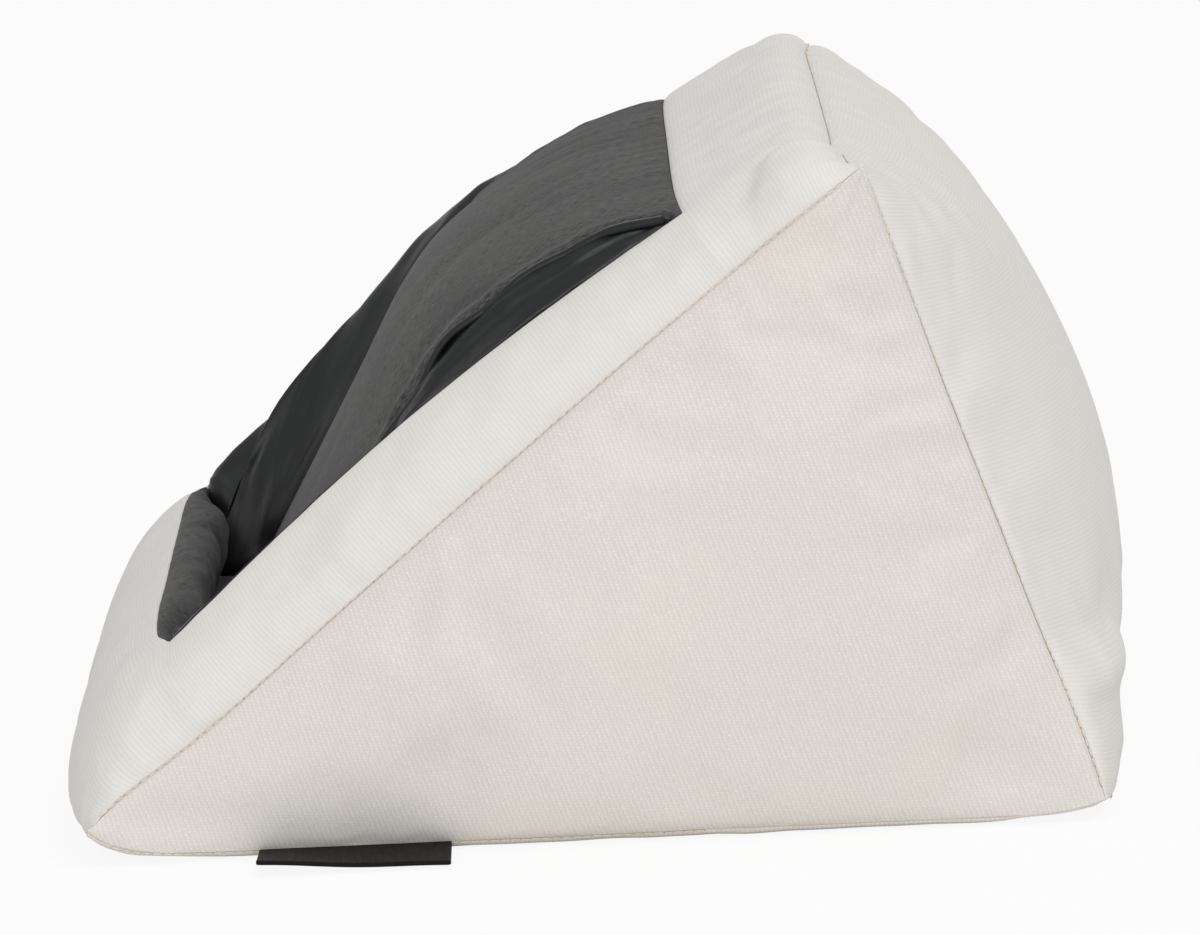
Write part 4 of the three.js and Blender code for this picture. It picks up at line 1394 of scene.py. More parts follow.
class Effects:
    """Shader node groups that several finishes share."""

    def __init__(self) -> None:
        """Builds each group once."""
        self.weave = self._ribbed_weave()
        self.grain = self._fine_grain()

    def _ribbed_weave(self) -> bpy.types.NodeTree:
        """Two-ply ribs of a corded cloth with small cross ticks, uneven yarns and slow colour drift."""
        inputs = {
            "Place": None, "Pitch": 0.00127, "Tick": 0.00084, "Ply": 0.25, "Cross": 0.2, "Waver": 0.0005,
            "Shake": 0.0006,
        }
        desk, given, out = shader_group("RibbedWeave", inputs, ["Height", "Rib", "Yarn", "Drift", "Fuzz"])
        split = desk.add("ShaderNodeSeparateXYZ", {0: given["Place"]})
        along, over = split.outputs[0], split.outputs[1]
        sway = desk.math("SUBTRACT", desk.noise(given["Place"], 130.0, 2.0), 0.5)
        over = desk.math("ADD", over, desk.math("MULTIPLY", sway, given["Waver"]))
        shake = desk.math("SUBTRACT", desk.noise(given["Place"], 900.0, 1.0), 0.5)
        shake = desk.math("MULTIPLY", shake, given["Shake"])
        over = desk.math("ADD", over, shake)
        along = desk.math("ADD", along, shake)
        phase = desk.math("DIVIDE", over, given["Pitch"])
        rib = desk.wave(phase)
        twin = desk.wave(desk.math("MULTIPLY", phase, 2.0))
        rib = desk.add("ShaderNodeMix", {0: given["Ply"], 2: rib, 3: twin}, data_type="FLOAT").outputs[0]
        row = desk.math("FLOOR", desk.math("ADD", phase, 0.25))
        step = desk.math("MULTIPLY", row, 0.41)
        tick = desk.wave(desk.math("ADD", desk.math("DIVIDE", along, given["Tick"]), step))
        feeds = {0: desk.math("MULTIPLY", along, 70.0), 1: desk.math("MULTIPLY", row, 3.7)}
        yarn = desk.noise(desk.add("ShaderNodeCombineXYZ", feeds).outputs[0], 1.0, 2.0)
        drift = desk.noise(given["Place"], 17.0, 3.0)
        fuzz = desk.noise(given["Place"], 2600.0, 2.0, 0.7)
        dip = desk.math("MULTIPLY", desk.math("SUBTRACT", 1.0, tick), given["Cross"])
        body = desk.math("MULTIPLY", rib, desk.math("SUBTRACT", 1.0, dip))
        height = desk.math("ADD", body, desk.math("MULTIPLY", fuzz, 0.35))
        desk.feed(out, {"Height": height, "Rib": body, "Yarn": yarn, "Drift": drift, "Fuzz": fuzz})
        return desk.tree

    def _fine_grain(self) -> bpy.types.NodeTree:
        """Fine pores and soft brushed streaks."""
        inputs = {"Place": None, "Pores": 900.0, "Stretch": 6.0, "Brush": 130.0}
        desk, given, out = shader_group("FineGrain", inputs, ["Height", "Streak", "Drift"])
        split = desk.add("ShaderNodeSeparateXYZ", {0: given["Place"]})
        thin = desk.math("MULTIPLY", split.outputs[0], given["Stretch"])
        brushed = desk.add("ShaderNodeCombineXYZ", {0: thin, 1: split.outputs[1]})
        streak = desk.noise(brushed.outputs[0], given["Brush"], 5.0, 0.65)
        pores = desk.noise(given["Place"], given["Pores"], 3.0, 0.6)
        drift = desk.noise(given["Place"], 22.0, 3.0)
        height = desk.math("ADD", desk.math("MULTIPLY", pores, 0.7), desk.math("MULTIPLY", streak, 0.3))
        desk.feed(out, {"Height": height, "Streak": streak, "Drift": drift})
        return desk.tree


def new_finish(name: str) -> tuple[bpy.types.Material, NodeDesk, bpy.types.Node]:
    """Starts a material.

    Args:
        name: the finish's name.

    Returns:
        The material, a desk for its nodes, and its Principled BSDF.
    """
    material = bpy.data.materials.new(name)
    material.use_nodes = True
    desk = NodeDesk(material.node_tree)
    return material, desk, material.node_tree.nodes["Principled BSDF"]


@dataclass(frozen=True)
class RibbedCloth:
    """Ribbed cream cotton: colours of ribs, of the darker grooves (painted shade between the ribs), uneven
    yarns and slow drift, and its ribs' sizes.
    """

    name: str
    rib: str
    groove: str
    yarn: str
    warm: str
    pitch: float = 0.00127
    depth: float = 0.00022
    ply: float = 0.22
    cross: float = 0.2
    shake: float = 0.0006
    drift: tuple[float, float] = (0.52, 0.78)

    def material(self, effects: Effects) -> bpy.types.Material:
        """Builds the material."""
        material, desk, shader = new_finish(self.name)
        feeds = {
            "Place": desk.add("ShaderNodeUVMap", uv_map=PATTERN_MAP).outputs[0], "Pitch": self.pitch,
            "Ply": self.ply, "Cross": self.cross, "Shake": self.shake,
        }
        weave = desk.add("ShaderNodeGroup", feeds, node_tree=effects.weave).outputs
        # Groove colour where the ribs dip and rib colour on their crowns: painted shade in the grooves, added
        # to the bump's own shading.
        colour = desk.blend(desk.ramp(weave["Rib"], 0.1, 0.8), rgb(self.groove), rgb(self.rib))
        colour = desk.blend(desk.ramp(weave["Yarn"], 0.5, 0.8, 0.0, 0.6), colour, rgb(self.yarn))
        colour = desk.blend(desk.ramp(weave["Fuzz"], 0.42, 0.62, 0.0, 0.6), colour, rgb(self.groove))
        colour = desk.blend(desk.ramp(weave["Drift"], *self.drift, 0.0, 0.35), colour, rgb(self.warm))
        look = {
            "Base Color": colour, "Normal": desk.bump(weave["Height"], 0.25, self.depth),
            "Roughness": desk.ramp(weave["Yarn"], 0.3, 0.8, 0.95, 0.8), "Specular IOR Level": 0.2,
            "Sheen Weight": 0.12, "Sheen Roughness": 0.5,
        }
        desk.feed(shader, look)
        return material


@dataclass(frozen=True)
class GrainedLining:
    """Dark lining: base and brushed colours, roughness range, pore size, depth and sheen."""

    name: str
    base: str
    brushed: str
    rough: tuple[float, float]
    pores: float
    stretch: float
    depth: float
    sheen: float
    specular: float
    brush: float = 130.0

    def material(self, effects: Effects) -> bpy.types.Material:
        """Builds the material."""
        material, desk, shader = new_finish(self.name)
        feeds = {
            "Place": desk.add("ShaderNodeUVMap", uv_map=PATTERN_MAP).outputs[0], "Pores": self.pores,
            "Stretch": self.stretch, "Brush": self.brush,
        }
        grain = desk.add("ShaderNodeGroup", feeds, node_tree=effects.grain).outputs
        colour = desk.blend(desk.ramp(grain["Streak"], 0.36, 0.64), rgb(self.base), rgb(self.brushed))
        colour = desk.blend(desk.ramp(grain["Drift"], 0.45, 0.75, 0.0, 0.5), colour, rgb(self.base))
        look = {
            "Base Color": colour, "Normal": desk.bump(grain["Height"], 0.6, self.depth),
            "Roughness": desk.ramp(grain["Streak"], 0.3, 0.7, *self.rough), "Sheen Weight": self.sheen,
            "Sheen Roughness": 0.45, "Specular IOR Level": self.specular,
        }
        desk.feed(shader, look)
        return material


@dataclass(frozen=True)
class SpunFinish:
    """Thread, coil, metal or bag cloth: two colours, roughness, metal share, grain and bump."""

    name: str
    base: str
    second: str
    rough: tuple[float, float]
    metal: float = 0.0
    scale: float = 700.0
    depth: float = 0.0001

    def material(self, effects: Effects) -> bpy.types.Material:
        """Builds the material."""
        material, desk, shader = new_finish(self.name)
        where = desk.add("ShaderNodeTexCoord").outputs["Object"]
        feeds = {"Place": where, "Pores": self.scale, "Stretch": 3.0}
        grain = desk.add("ShaderNodeGroup", feeds, node_tree=effects.grain).outputs
        colour = desk.blend(desk.ramp(grain["Height"], 0.35, 0.65), rgb(self.base), rgb(self.second))
        look = {
            "Base Color": colour, "Normal": desk.bump(grain["Height"], 0.5, self.depth),
            "Roughness": desk.ramp(grain["Drift"], 0.3, 0.7, *self.rough), "Metallic": self.metal,
        }
        desk.feed(shader, look)
        return material


class Finishes:
    """Every finish of the cushion."""

    def __init__(self) -> None:
        """Builds the materials once."""
        cover = RibbedCloth("CoverCloth", "E2E0DC", "DAD7D2", "DDDAD5", "E1DCD5", pitch=0.0012, depth=0.00014)
        side = RibbedCloth(
            "SideCloth", "E6E2DD", "D3CEC8", "DDD8D2", "E1D8CF", ply=0.34, cross=0.65, shake=0.0012
        )
        # The base's colours are the cream cloth made a little darker and warmer. This paints part of the
        # shade on the strip along the floor.
        base = RibbedCloth("BaseCloth", "DDD8D0", "D2CBC1", "D8D2C9", "DCD3C7")
        tape = RibbedCloth("ZipTape", "D8D4CA", "BFB9AD", "CFCABF", "D2CABC", pitch=0.0007, depth=0.00012)
        napped = GrainedLining(
            "NappedLining", "2A2929", "5D5C5B", (0.95, 0.8), pores=1800.0, stretch=5.0, depth=0.00008,
            sheen=0.05, specular=0.15, brush=420.0,
        )
        smooth = GrainedLining(
            "SmoothLining", "07090A", "101214", (0.46, 0.34), pores=1100.0, stretch=2.0, depth=0.00008,
            sheen=0.0, specular=0.32,
        )
        satin = GrainedLining(
            "LabelSatin", "070708", "0D0D0F", (0.6, 0.5), pores=2400.0, stretch=12.0, depth=0.00005,
            sheen=0.0, specular=0.1,
        )
        thread = SpunFinish("SewingThread", "E1D7C9", "D4C8B8", (0.8, 0.6), scale=2500.0)
        dark_thread = SpunFinish("LiningThread", "232322", "31302F", (0.7, 0.5), scale=2500.0)
        coil = SpunFinish("ZipCoil", "CFCAC0", "BDB7AB", (0.45, 0.35), scale=1500.0, depth=0.00003)
        metal = SpunFinish("ZipMetal", "B9B7B2", "A3A19C", (0.38, 0.26), 1.0, scale=1800.0, depth=0.00002)
        bag = SpunFinish("BagCloth", "E9E8E4", "DBDAD5", (0.9, 0.8), scale=500.0)
        effects = Effects()
        self.cover, self.side, self.base, self.tape = (f.material(effects) for f in (cover, side, base, tape))
        self.napped, self.smooth, self.satin = (f.material(effects) for f in (napped, smooth, satin))
        self.thread, self.dark_thread = (f.material(effects) for f in (thread, dark_thread))
        self.coil, self.metal, self.bag = (f.material(effects) for f in (coil, metal, bag))


def node_tree(name: str, inputs: dict[str, str]) -> TreeParts:
    """Starts a Geometry Nodes tree.

    Args:
        name: the tree's name.
        inputs: socket types of its inputs by name, without the NodeSocket in front.

    Returns:
        A desk for its nodes, its input sockets by name, and its output node.
    """
    tree = bpy.data.node_groups.new(name, "GeometryNodeTree")
    for key, kind in inputs.items():
        tree.interface.new_socket(name=key, in_out="INPUT", socket_type=f"NodeSocket{kind}")
    tree.interface.new_socket(name="Geometry", in_out="OUTPUT", socket_type="NodeSocketGeometry")
    desk = NodeDesk(tree)
    start = desk.add("NodeGroupInput")
    return desk, {key: start.outputs[key] for key in inputs}, desk.add("NodeGroupOutput")


def finish_tree(desk: NodeDesk, shape: Socket, material: Socket, out: bpy.types.Node) -> bpy.types.NodeTree:
    """Ends a tree in real, smooth geometry with its material."""
    real = desk.add("GeometryNodeRealizeInstances", {"Geometry": shape}).outputs[0]
    smooth = desk.add("GeometryNodeSetShadeSmooth", {"Geometry": real}).outputs[0]
    dressed = desk.add("GeometryNodeSetMaterial", {"Geometry": smooth, "Material": material}).outputs[0]
    desk.tree.links.new(dressed, out.inputs[0])
    return desk.tree


def grow(
    name: str, tree: bpy.types.NodeTree, values: dict[str, object], runs: tuple[np.ndarray, ...] = ()
) -> bpy.types.Object:
    """Runs a Geometry Nodes tree and keeps its result as a plain mesh.

    Args:
        name: the piece's name.
        tree: the tree.
        values: its inputs by name.
        runs: lines of points that it follows, as loose edges.

    Returns:
        The object, with no modifier.
    """
    points, sides = [], []
    for run in runs:
        start = len(points)
        points += run.tolist()
        sides += [(start + n, start + n + 1) for n in range(len(run) - 1)]
    seed_mesh = bpy.data.meshes.new(name + "_line")
    seed_mesh.from_pydata(points, sides, [])
    seed = add_object(name + "_line", seed_mesh)
    grower = seed.modifiers.new("Grow", "NODES")
    grower.node_group = tree
    for item in tree.interface.items_tree:
        if item.in_out == "INPUT" and item.name in values:
            grower[item.identifier] = values[item.name]
    mesh = applied(seed)
    mesh.name = name
    bpy.data.objects.remove(seed)
    return add_object(name, mesh)


class Growers:
    """Geometry Nodes trees for what repeats or follows a line: stitches, rolled edges and the zip's coils."""

    def __init__(self) -> None:
        """Builds each tree once."""
        self.stitches = self._stitches()
        self.piping = self._piping()
        self.coil = self._coil()

    def _stitches(self) -> bpy.types.NodeTree:
        """Stitches along lines: one slim bead of thread for each."""
        kinds = {
            "Geometry": "Geometry", "Pitch": "Float", "Length": "Float", "Thread": "Float",
            "Unevenness": "Float", "Seed": "Int", "Material": "Material",
        }
        desk, given, out = node_tree("StitchRow", kinds)
        curve = desk.add("GeometryNodeMeshToCurve", {"Mesh": given["Geometry"]}).outputs[0]
        feeds = {"Curve": curve, "Length": given["Pitch"]}
        line = desk.add("GeometryNodeResampleCurve", feeds, mode="LENGTH").outputs[0]
        bead = desk.add("GeometryNodeMeshUVSphere", {"Segments": 6, "Rings": 5, "Radius": 1.0}).outputs[0]
        half = desk.math("MULTIPLY", given["Length"], 0.5)
        size = desk.add("ShaderNodeCombineXYZ", {0: half, 1: given["Thread"], 2: given["Thread"]}).outputs[0]
        stitch = desk.add("GeometryNodeTransform", {"Geometry": bead, "Scale": size}).outputs[0]
        low = desk.math("SUBTRACT", 1.0, given["Unevenness"])
        high = desk.math("ADD", 1.0, given["Unevenness"])
        feeds = {2: low, 3: high, "Seed": given["Seed"]}
        jitter = desk.add("FunctionNodeRandomValue", feeds, data_type="FLOAT").outputs[1]
        tangent = desk.add("GeometryNodeInputTangent").outputs[0]
        turn = desk.add("FunctionNodeAlignRotationToVector", {"Vector": tangent}, axis="X").outputs[0]
        feeds = {"Points": line, "Instance": stitch, "Rotation": turn, "Scale": jitter}
        row = desk.add("GeometryNodeInstanceOnPoints", feeds).outputs[0]
        return finish_tree(desk, row, given["Material"], out)

    def _piping(self) -> bpy.types.NodeTree:
        """A rolled edge along a line: a soft round tube, uneven in thickness."""
        kinds = {
            "Geometry": "Geometry", "Radius": "Float", "Unevenness": "Float", "Lumps": "Float",
            "Step": "Float", "Material": "Material",
        }
        desk, given, out = node_tree("RolledEdge", kinds)
        curve = desk.add("GeometryNodeMeshToCurve", {"Mesh": given["Geometry"]}).outputs[0]
        feeds = {"Curve": curve, "Length": given["Step"]}
        line = desk.add("GeometryNodeResampleCurve", feeds, mode="LENGTH").outputs[0]
        lump = desk.add("ShaderNodeTexNoise", {"Scale": given["Lumps"], "Detail": 1.0}).outputs[0]
        swell = desk.math("MULTIPLY", desk.math("SUBTRACT", lump, 0.5), given["Unevenness"])
        size = desk.math("MULTIPLY", given["Radius"], desk.math("ADD", swell, 1.0))
        round_edge = desk.add("GeometryNodeCurvePrimitiveCircle", {"Resolution": 8, "Radius": 1.0}).outputs[0]
        feeds = {"Curve": line, "Profile Curve": round_edge, "Scale": size, "Fill Caps": True}
        tube = desk.add("GeometryNodeCurveToMesh", feeds).outputs[0]
        return finish_tree(desk, tube, given["Material"], out)

    def _coil(self) -> bpy.types.NodeTree:
        """A nylon coil: a wire wound along a line and pressed flat."""
        kinds = {
            "Turns": "Float", "Length": "Float", "Radius": "Float", "Wire": "Float", "Flatten": "Float",
            "Start": "Vector", "Material": "Material",
        }
        desk, given, out = node_tree("ZipCoil", kinds)
        feeds = {
            "Resolution": 10, "Rotations": given["Turns"], "Start Radius": given["Radius"],
            "End Radius": given["Radius"], "Height": given["Length"],
        }
        line = desk.add("GeometryNodeCurveSpiral", feeds).outputs[0]
        press = desk.add("ShaderNodeCombineXYZ", {0: 1.0, 1: given["Flatten"], 2: 1.0}).outputs[0]
        flat = desk.add("GeometryNodeTransform", {"Geometry": line, "Scale": press}).outputs[0]
        feeds = {"Resolution": 6, "Radius": given["Wire"]}
        wire = desk.add("GeometryNodeCurvePrimitiveCircle", feeds).outputs[0]
        feeds = {"Curve": flat, "Profile Curve": wire, "Fill Caps": True}
        tube = desk.add("GeometryNodeCurveToMesh", feeds).outputs[0]
        feeds = {"Geometry": tube, "Translation": given["Start"], "Rotation": (0.0, math.pi / 2.0, 0.0)}
        laid = desk.add("GeometryNodeTransform", feeds).outputs[0]
        return finish_tree(desk, laid, given["Material"], out)


@dataclass
class Cover:
    """The five cream panels."""

    cutter: PatternCutter
    thickness: float = 0.0012
    fill: float = 0.85
    taut: float = 0.6
    shoulder: float = 0.0050
    hollow: float = 0.0014
    pinch: float = 0.0055
    dents: list[Crease] = field(default_factory=list)

    def __post_init__(self) -> None:
        """Cuts the panels."""
        self.face = self.cutter.face()
        self.back = self.cutter.back()
        self.base = self.cutter.base()
        self.sides = {hand: self.cutter.side(hand) for hand in Hand}
        for hand in Hand:
            self.dents += self._shoulder(hand)
        self.dents += [
            Crease((0.165, -0.050, 0.032), (0.160, -0.036, 0.011), 0.008, -0.0022),
            Crease((0.165, 0.008, 0.020), (0.160, 0.030, 0.007), 0.007, -0.0017),
            Crease((0.163, 0.088, 0.022), (0.158, 0.114, 0.011), 0.008, -0.0022),
            Crease((0.158, -0.132, 0.014), (0.160, -0.105, 0.010), 0.006, -0.0018),
            Crease((-0.165, -0.030, 0.030), (-0.160, -0.050, 0.010), 0.008, -0.0013),
            Crease((-0.164, 0.060, 0.024), (-0.159, 0.090, 0.010), 0.008, -0.0012),
        ]

    def _slack(self, panel: Panel) -> np.ndarray:
        """How strongly each point of a panel takes the simulated folds: less where it stands on the table."""
        most = 1.0 if panel in self.sides.values() else self.taut
        return most * (0.3 + 0.7 * smoothstep(panel.points[:, 2], 0.006, 0.055))

    def _shoulder(self, hand: Hand) -> list[Crease]:
        """A full shoulder beside an ear, the hollow next to it on the top, and the ridge drawn in behind."""
        spots = np.array([[0.93], [0.945], [0.64], [0.64], [0.70], [0.88]]) * hand.value
        stations = np.array([6.9, 9.0, 7.0, 8.9, 9.0, 9.0])
        low, high, start, end, inner, outer = (tuple(p) for p in self.cutter.form.face(stations, spots)[:, 0])
        share = 1.0 if hand is Hand.LEFT else 0.25
        return [
            Crease(low, high, 0.017, share * self.shoulder),
            Crease(start, end, 0.020, -self.hollow),
            Crease(inner, outer, 0.012, -share * self.pinch),
        ]

    def panels(self) -> list[Panel]:
        """Every panel of the cover."""
        return [self.face, self.back, self.base, *self.sides.values()]

    def build(self, tailor: Tailor, finishes: Finishes) -> None:
        """Sews and dresses the panels."""
        plan = [
            (self.face, "cover_cloth", ("face_panel",), finishes.cover),
            (self.back, "cover_cloth", ("back_panel",), finishes.cover),
            (self.base, "base_cloth", ("base_panel",), finishes.base),
        ]
        for hand, panel in self.sides.items():
            plan.append((panel, "side_cloth", (f"side_panel_{hand.name.lower()}",), finishes.side))
        for panel, slot, nodes, finish in plan:
            piece = tailor.make(panel, self.thickness, self.dents, self._slack(panel))
            place(piece, CUSHION, slot, nodes, finish)


@dataclass
class Pocket:
    """The charcoal linings of the pocket."""

    cutter: PatternCutter
    thickness: float = 0.0012
    fill: float = 0.7
    pillow_slack: float = 0.2
    folds: list[Crease] = field(default_factory=list)

    def __post_init__(self) -> None:
        """Cuts the panels."""
        self.backrest = self.cutter.backrest()
        self.lip = self.cutter.lip()
        self.gussets = {hand: self.cutter.gusset(hand) for hand in Hand}
        pinch = (-0.119, -0.106, 0.044)
        for end, width, height in (
            ((-0.122, -0.088, 0.080), 0.0034, 0.0030),
            ((-0.121, -0.072, 0.078), 0.0030, -0.0028),
            ((-0.118, -0.060, 0.088), 0.0036, 0.0028),
            ((-0.125, -0.098, 0.074), 0.0028, -0.0024),
        ):
            self.folds.append(Crease(pinch, end, width, height))
        self.folds += [
            Crease((-0.122, -0.050, 0.112), (-0.119, -0.010, 0.130), 0.0060, -0.0028),
            Crease((-0.124, -0.030, 0.135), (-0.121, 0.004, 0.150), 0.0050, 0.0022),
            Crease((0.124, -0.060, 0.082), (0.121, -0.020, 0.118), 0.0045, -0.0016),
            Crease((0.124, -0.020, 0.112), (0.122, 0.008, 0.140), 0.0045, 0.0014),
        ]

    def panels(self) -> list[Panel]:
        """Every lining of the pocket."""
        return [self.backrest, self.lip, *self.gussets.values()]

    def build(self, tailor: Tailor, finishes: Finishes) -> None:
        """Sews and dresses the linings."""
        plan = [
            (self.backrest, "napped_lining", ("pocket_backrest",), finishes.napped),
            (self.lip, "napped_lining", ("pocket_lip_lining",), finishes.napped),
        ]
        for hand, panel in self.gussets.items():
            plan.append((panel, "smooth_lining", (f"pocket_gusset_{hand.name.lower()}",), finishes.smooth))
        for panel, slot, nodes, finish in plan:
            taut = self.pillow_slack if panel is self.backrest else 1.0
            piece = tailor.make(panel, self.thickness, self.folds, taut)
            place(piece, CUSHION, slot, nodes, finish)


@dataclass
class InnerBag:
    """The bag of beads inside the cover."""

    inset: float = 0.0075
    voxel: float = 0.0035
    lumps: float = 0.0006
    clearance: float = 0.8
    fill: float = 0.8

    def build(self, panels: list[Panel], finishes: Finishes) -> None:
        """Makes the bag a little smaller than the cover, and dresses it."""
        skin = closed_skin(panels, self.voxel)
        normals = read_points(skin.data, "normal")
        points = read_points(skin.data) - self.inset * normals
        points += (self.lumps * ripple(points, 0.03, 11))[:, None] * normals
        points = self._kept_in(points, panels)
        faces = [list(p.vertices) for p in skin.data.polygons]
        bpy.data.objects.remove(skin)
        piece = make_piece("inner_bag", points, faces)
        place(piece, CUSHION, "bead_fill", ("bead_fill",), finishes.bag)

    def _kept_in(self, points: np.ndarray, panels: list[Panel]) -> np.ndarray:
        """The bag's points, pushed back to where they clear every panel."""
        places = np.vstack([p.points for p in panels])
        outward = np.vstack([p.normals() for p in panels])
        tree = search_tree(places)
        for _ in range(3):
            for n, spot in enumerate(points):
                near = tree.find(spot)[1]
                proud = float((spot - places[near]) @ outward[near]) + self.clearance * self.inset
                points[n] = spot - max(0.0, proud) * outward[near]
        return points


@dataclass
class SideLabel:
    """A satin ribbon folded in two and caught in the base seam."""

    layer: float = 0.0005
    gap: float = 0.0003
    wave: float = 0.0005
    twist: float = 0.0023
    lowest: float = 0.0003
    end_bow: float = 0.0004
    leaf_rows: int = 14
    bend_rows: int = 9
    columns: int = 36

    def build(self, finishes: Finishes) -> None:
        """Folds the ribbon where its CAD node is, and dresses it."""
        corners = np.array([v.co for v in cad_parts["side_label"].data.vertices])
        low, high = corners.min(axis=0), corners.max(axis=0)
        near = corners[corners[:, 0] < low[0] + 0.003, 2].mean()
        far = corners[corners[:, 0] > high[0] - 0.003, 2].mean()
        start, end = np.array([low[0], near]), np.array([high[0], far])
        ahead = (end - start) / np.linalg.norm(end - start)
        above = np.array([-ahead[1], ahead[0]])
        half = 0.5 * (self.layer + self.gap)
        bend = end - (half + 0.5 * self.layer) * ahead
        rows, outward = [], []
        for share in np.linspace(0.0, 1.0, self.leaf_rows):
            rows.append(mix(start, bend, share) + half * above)
            outward.append(above)
        for turn in np.linspace(0.5 * math.pi, -0.5 * math.pi, self.bend_rows)[1:-1]:
            out = math.cos(turn) * ahead + math.sin(turn) * above
            rows.append(bend + half * out)
            outward.append(out)
        for share in np.linspace(1.0, 0.0, self.leaf_rows):
            rows.append(mix(start, bend, share) - half * above)
            outward.append(-above)
        rows, outward = np.array(rows), np.array(outward)
        y = np.linspace(low[1], high[1], self.columns)
        free = np.clip((rows[:, 0] - low[0]) / (high[0] - low[0]), 0.0, 1.0)[:, None] ** 1.5
        place_on = (y - y[0]) / (y[-1] - y[0])
        rise = self.wave * free * (0.4 + 0.5 * np.sin(7.5 * place_on + 0.9))
        rise = rise + self.twist * free * (1.0 - place_on) ** 1.4
        sides = []
        for away in (0.5, -0.5):
            edge = rows + away * self.layer * outward
            grid = np.zeros((len(rows), self.columns, 3))
            grid[..., 0] = edge[:, :1] - self.end_bow * free * np.sin(4.0 * place_on)
            grid[..., 1] = y
            grid[..., 2] = np.maximum(edge[:, 1:] + rise, self.lowest)
            sides.append(grid)
        run = run_lengths(rows)
        pattern = np.stack(np.broadcast_arrays(y - y[0], run[:, None]), axis=-1)
        piece = ribbon("side_label_ribbon", sides[0], sides[1], pattern)
        place(piece, CUSHION, "label_satin", ("side_label",), finishes.satin)


@dataclass
class ZipClosure:
    """The zip at the foot of the back: two tapes, two coils, two stops, a slider and its pull."""

    wire: float = 0.00030
    pitch: float = 0.0015
    tape: float = 0.0008
    sway: float = 0.00012
    edge: float = 0.00025
    fixed: tuple[str, ...] = ("zip_stop_left", "zip_stop_right")

    def build(self, growers: Growers, finishes: Finishes) -> None:
        """Makes and dresses every piece of the zip."""
        for name in ("upper", "lower"):
            self._tape(name, finishes)
            self._coil(name, growers, finishes)
        for node in self.fixed:
            piece = bevelled(node, node + "_crimp", self.edge)
            place(piece, CUSHION, "zip_metal", (node,), finishes.metal)
        for node, body in (("zip_slider", "slider"), ("zip_pull", "pull")):
            piece = bevelled(node, node + "_cast", self.edge)
            place(piece, body, "zip_metal", (node,), finishes.metal)

    def _tape(self, name: str, finishes: Finishes) -> None:
        """A woven tape that sways a little."""
        low, high = (np.array(c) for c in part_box(f"zip_tape_{name}"))
        x = np.linspace(low[0], high[0], 60)
        z = np.linspace(low[2], high[2], 7)
        grid = np.zeros((len(z), len(x), 3))
        grid[..., 0], grid[..., 2] = x, z[:, None]
        sway = self.sway * (ripple(grid.reshape(-1, 3), 0.03, 3).reshape(grid.shape[:2]) - 1.2)
        outer, inner = grid.copy(), grid.copy()
        outer[..., 1] = high[1] + sway
        inner[..., 1] = high[1] + sway - self.tape
        pattern = np.stack(np.broadcast_arrays(x, z[:, None]), axis=-1)
        piece = ribbon(f"zip_tape_{name}_woven", outer, inner, pattern)
        place(piece, CUSHION, "zip_tape", (f"zip_tape_{name}",), finishes.tape)

    def _coil(self, name: str, growers: Growers, finishes: Finishes) -> None:
        """A nylon coil along the tape's edge."""
        low, high = (np.array(c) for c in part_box(f"zip_chain_{name}"))
        half = 0.5 * (high - low)
        radius = float(half[2] - self.wire)
        length = float(2.0 * (half[0] - self.wire))
        values = {
            "Turns": length / self.pitch, "Length": length, "Radius": radius, "Wire": self.wire,
            "Flatten": float(half[1] - self.wire) / radius, "Material": finishes.coil,
            "Start": (float(low[0] + self.wire), float(low[1] + half[1]), float(low[2] + half[2])),
        }
        piece = grow(f"zip_coil_{name}", growers.coil, values)
        place(piece, CUSHION, "zip_chain", (f"zip_chain_{name}",), finishes.coil)


